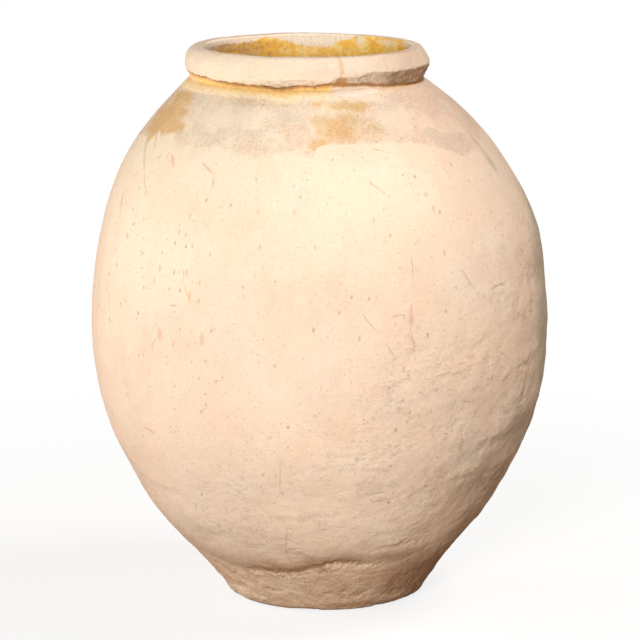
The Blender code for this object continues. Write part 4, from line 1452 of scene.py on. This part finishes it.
def build_run(points, path, fields):
    """The one run of glaze that dried on the collar's outer face."""
    outer = (path[:, 1] > RUN_LOW) & (path[:, 1] < RUN_HIGH) & (np.arange(len(path)) < np.argmax(path[:, 1]))
    middle = int(np.argmin(np.abs(wrapped(AZIMUTHS - RUN_AZIMUTH))))
    block = np.ix_(np.flatnonzero(outer), np.arange(middle - RUN_COLUMNS, middle + RUN_COLUMNS + 1))
    normals = grid_normals(points)[block]
    across = np.radians(AZIMUTHS[block[1]] - RUN_AZIMUTH) * COLLAR_RADIUS
    width = RUN_WIDTH * (1 + 0.35 * noise(points[block], 0.008, 91))
    inside = smoothstep(width / 2 + RUN_SOFTNESS, width / 2 - RUN_SOFTNESS, np.abs(across))
    inside[0] = inside[-1] = 0.0
    lift = SKIN * inside - SKIN_SINK * (1 - inside)
    shown = points[block] + normals * lift[..., None]
    back = points[block] - normals * SKIN_BACK
    piece = patch_piece("rim_glaze_run_skin", shown, back, cut_rows(fields, block))
    dressed(piece, "yellow_glaze", "rim_glaze_run")


# The glaze lining

LINING_ROW_STEP = 0.007
LINING_THICKNESS = 0.0009
LINING_TOP = NECK_HEIGHT + COLLAR_HEIGHT / 2
LINING_GAP = 0.0004


def build_lining():
    """The glazed inside, from the floor's middle up the wall and into the mouth."""
    heights = np.linspace(FLOOR_THICKNESS + 0.012, NECK_HEIGHT, 120)
    wall = np.stack([wall_radius(heights), heights], axis=1)
    wall = wall - (WALL + LINING_GAP) * section_normals(wall)
    wall = wall[wall[:, 1] > FLOOR_THICKNESS + 0.002]
    level = FLOOR_THICKNESS + LINING_GAP
    floor = [(MIDDLE_RADIUS, level), (wall[0, 0] - 0.006, level)]
    mouth = [(MOUTH_RADIUS, NECK_HEIGHT + 0.002), (MOUTH_RADIUS - 0.0002, LINING_TOP)]
    path = respaced(np.concatenate([floor, wall, mouth]), LINING_ROW_STEP)
    smooth = spun(path)
    lift = LINING_THICKNESS * smoothstep(LINING_TOP, LINING_TOP - 0.006, path[:, 1])[:, None]
    waves = 0.0006 * noise(smooth, 0.05, 71) + 0.0003 * noise(smooth, 0.015, 72)
    out = lift * (1 + waves / LINING_THICKNESS * 0.5)
    shown = spun(pushed(path, -out))[::-1]
    backing = path[::4] + 0.0002 * section_normals(path)[::4]
    rust = MOUTH_RUST * mouth_rust(AZIMUTHS[None, :], smooth[..., 2]) * smoothstep(0.7, 0.76, smooth[..., 2])
    own = {"torn": 0.3, "crumbly": 0.6, "glaze": GLAZE_LIMIT, "glaze_strength": 1.0, "rust": rust[::-1]}
    piece = ring_piece("glaze_lining_skin", shown, spun(backing), plain_fields(smooth[::-1], **own), strips=1)
    dressed(piece, "lining_glaze", "glaze_lining")


# Stage, light and camera

FLOOR_HALF = 30.0
FLOOR_GLOW_SHARE = 0.8
FLOOR_NEAR = 0.55
FLOOR_FAR = 1.6
FLOOR_SEEN = (0.95, 0.945, 0.94, 1.0)
FLOOR_BOUNCE = (0.32, 0.25, 0.19, 1.0)
WHITE = (1.0, 1.0, 1.0, 1.0)
WORLD_COLOUR = (1.0, 0.9, 0.8, 1.0)
WORLD_STRENGTH = 0.14


def build_stage():
    """A wide pale floor that goes on past the view."""
    mesh = bpy.data.meshes.new("studio_floor")
    corners = [(-1, -1), (1, -1), (1, 1), (-1, 1)]
    mesh.from_pydata([(x * FLOOR_HALF, y * FLOOR_HALF, 0) for x, y in corners], [], [(0, 1, 2, 3)])
    shader = Shader(bpy.data.materials.new("studio_floor"))
    seen = shader.node("LightPath", {}, "Is Camera Ray")
    tone = shader.mix(seen, FLOOR_BOUNCE, FLOOR_SEEN)
    dull = shader.own("Principled BSDF")
    dull.fed({"Base Color": tone, "Roughness": 1.0, "Specular IOR Level": 0.0})
    away = shader.vector("LENGTH", shader.place(), output="Value")
    glow = seen * away.step(FLOOR_NEAR, FLOOR_FAR, FLOOR_GLOW_SHARE)
    white = shader.node("Emission", {"Color": WHITE})
    surface = shader.node("MixShader", {0: glow, 1: dull, 2: white})
    mesh.materials.append(shader.end("Material Output", surface))
    placed("studio_floor", mesh)


def build_world():
    """Soft even light from all round, seen as white."""
    world = bpy.data.worlds.new("studio")
    bpy.context.scene.world = world
    shader = Shader(world)
    soft = shader.own("Background")
    soft.fed({"Color": WORLD_COLOUR, "Strength": WORLD_STRENGTH})
    white = shader.node("Background", {"Strength": 1.0})
    seen = shader.node("LightPath", {}, "Is Camera Ray")
    shader.end("World Output", shader.node("MixShader", {0: seen, 1: soft, 2: white}))


# Lamps: azimuth, elevation, distance, size, watts and colour
LAMPS = {
    "key": (-101, 13, 4.5, 1.0, 212, (1.0, 0.987, 0.968)),
    "left_fill": (-200, 1, 4.5, 1.2, 164, (1.0, 0.965, 0.935)),
    "right_fill": (6, 54, 4.5, 2.0, 148, (1.0, 0.965, 0.93)),
}


def area_light(name, azimuth, elevation, distance, size, watts, colour):
    """A square soft light that looks at the middle of the jar."""
    light = bpy.data.lights.new(name, "AREA")
    light.size = size
    light.energy = watts
    light.color = colour
    lamp = placed(name, light)
    turn, tilt = math.radians(azimuth), math.radians(elevation)
    across = distance * math.cos(tilt)
    height = JAR_HEIGHT / 2 + distance * math.sin(tilt)
    lamp.location = (across * math.cos(turn), across * math.sin(turn), height)
    lamp.rotation_euler = (math.pi / 2 - tilt, 0, turn + math.pi / 2)


CAMERA_DISTANCE = 5.2
CAMERA_HEIGHT = 1.39
CAMERA_PITCH = 10.785
CAMERA_LENS = 205.4
SENSOR_WIDTH = 36


def build_camera():
    camera = bpy.data.cameras.new("camera")
    camera.lens = CAMERA_LENS
    camera.sensor_width = SENSOR_WIDTH
    seat = placed("camera", camera)
    seat.location = (0, -CAMERA_DISTANCE, CAMERA_HEIGHT)
    seat.rotation_euler = (math.radians(90 - CAMERA_PITCH), 0, 0)
    bpy.context.scene.camera = seat


build_camera()
build_world()
build_stage()
for lamp_name, numbers in LAMPS.items():
    area_light(lamp_name, *numbers)
build_wall()
build_collar()
build_lining()

bpy.context.scene.view_settings.view_transform = "Standard"
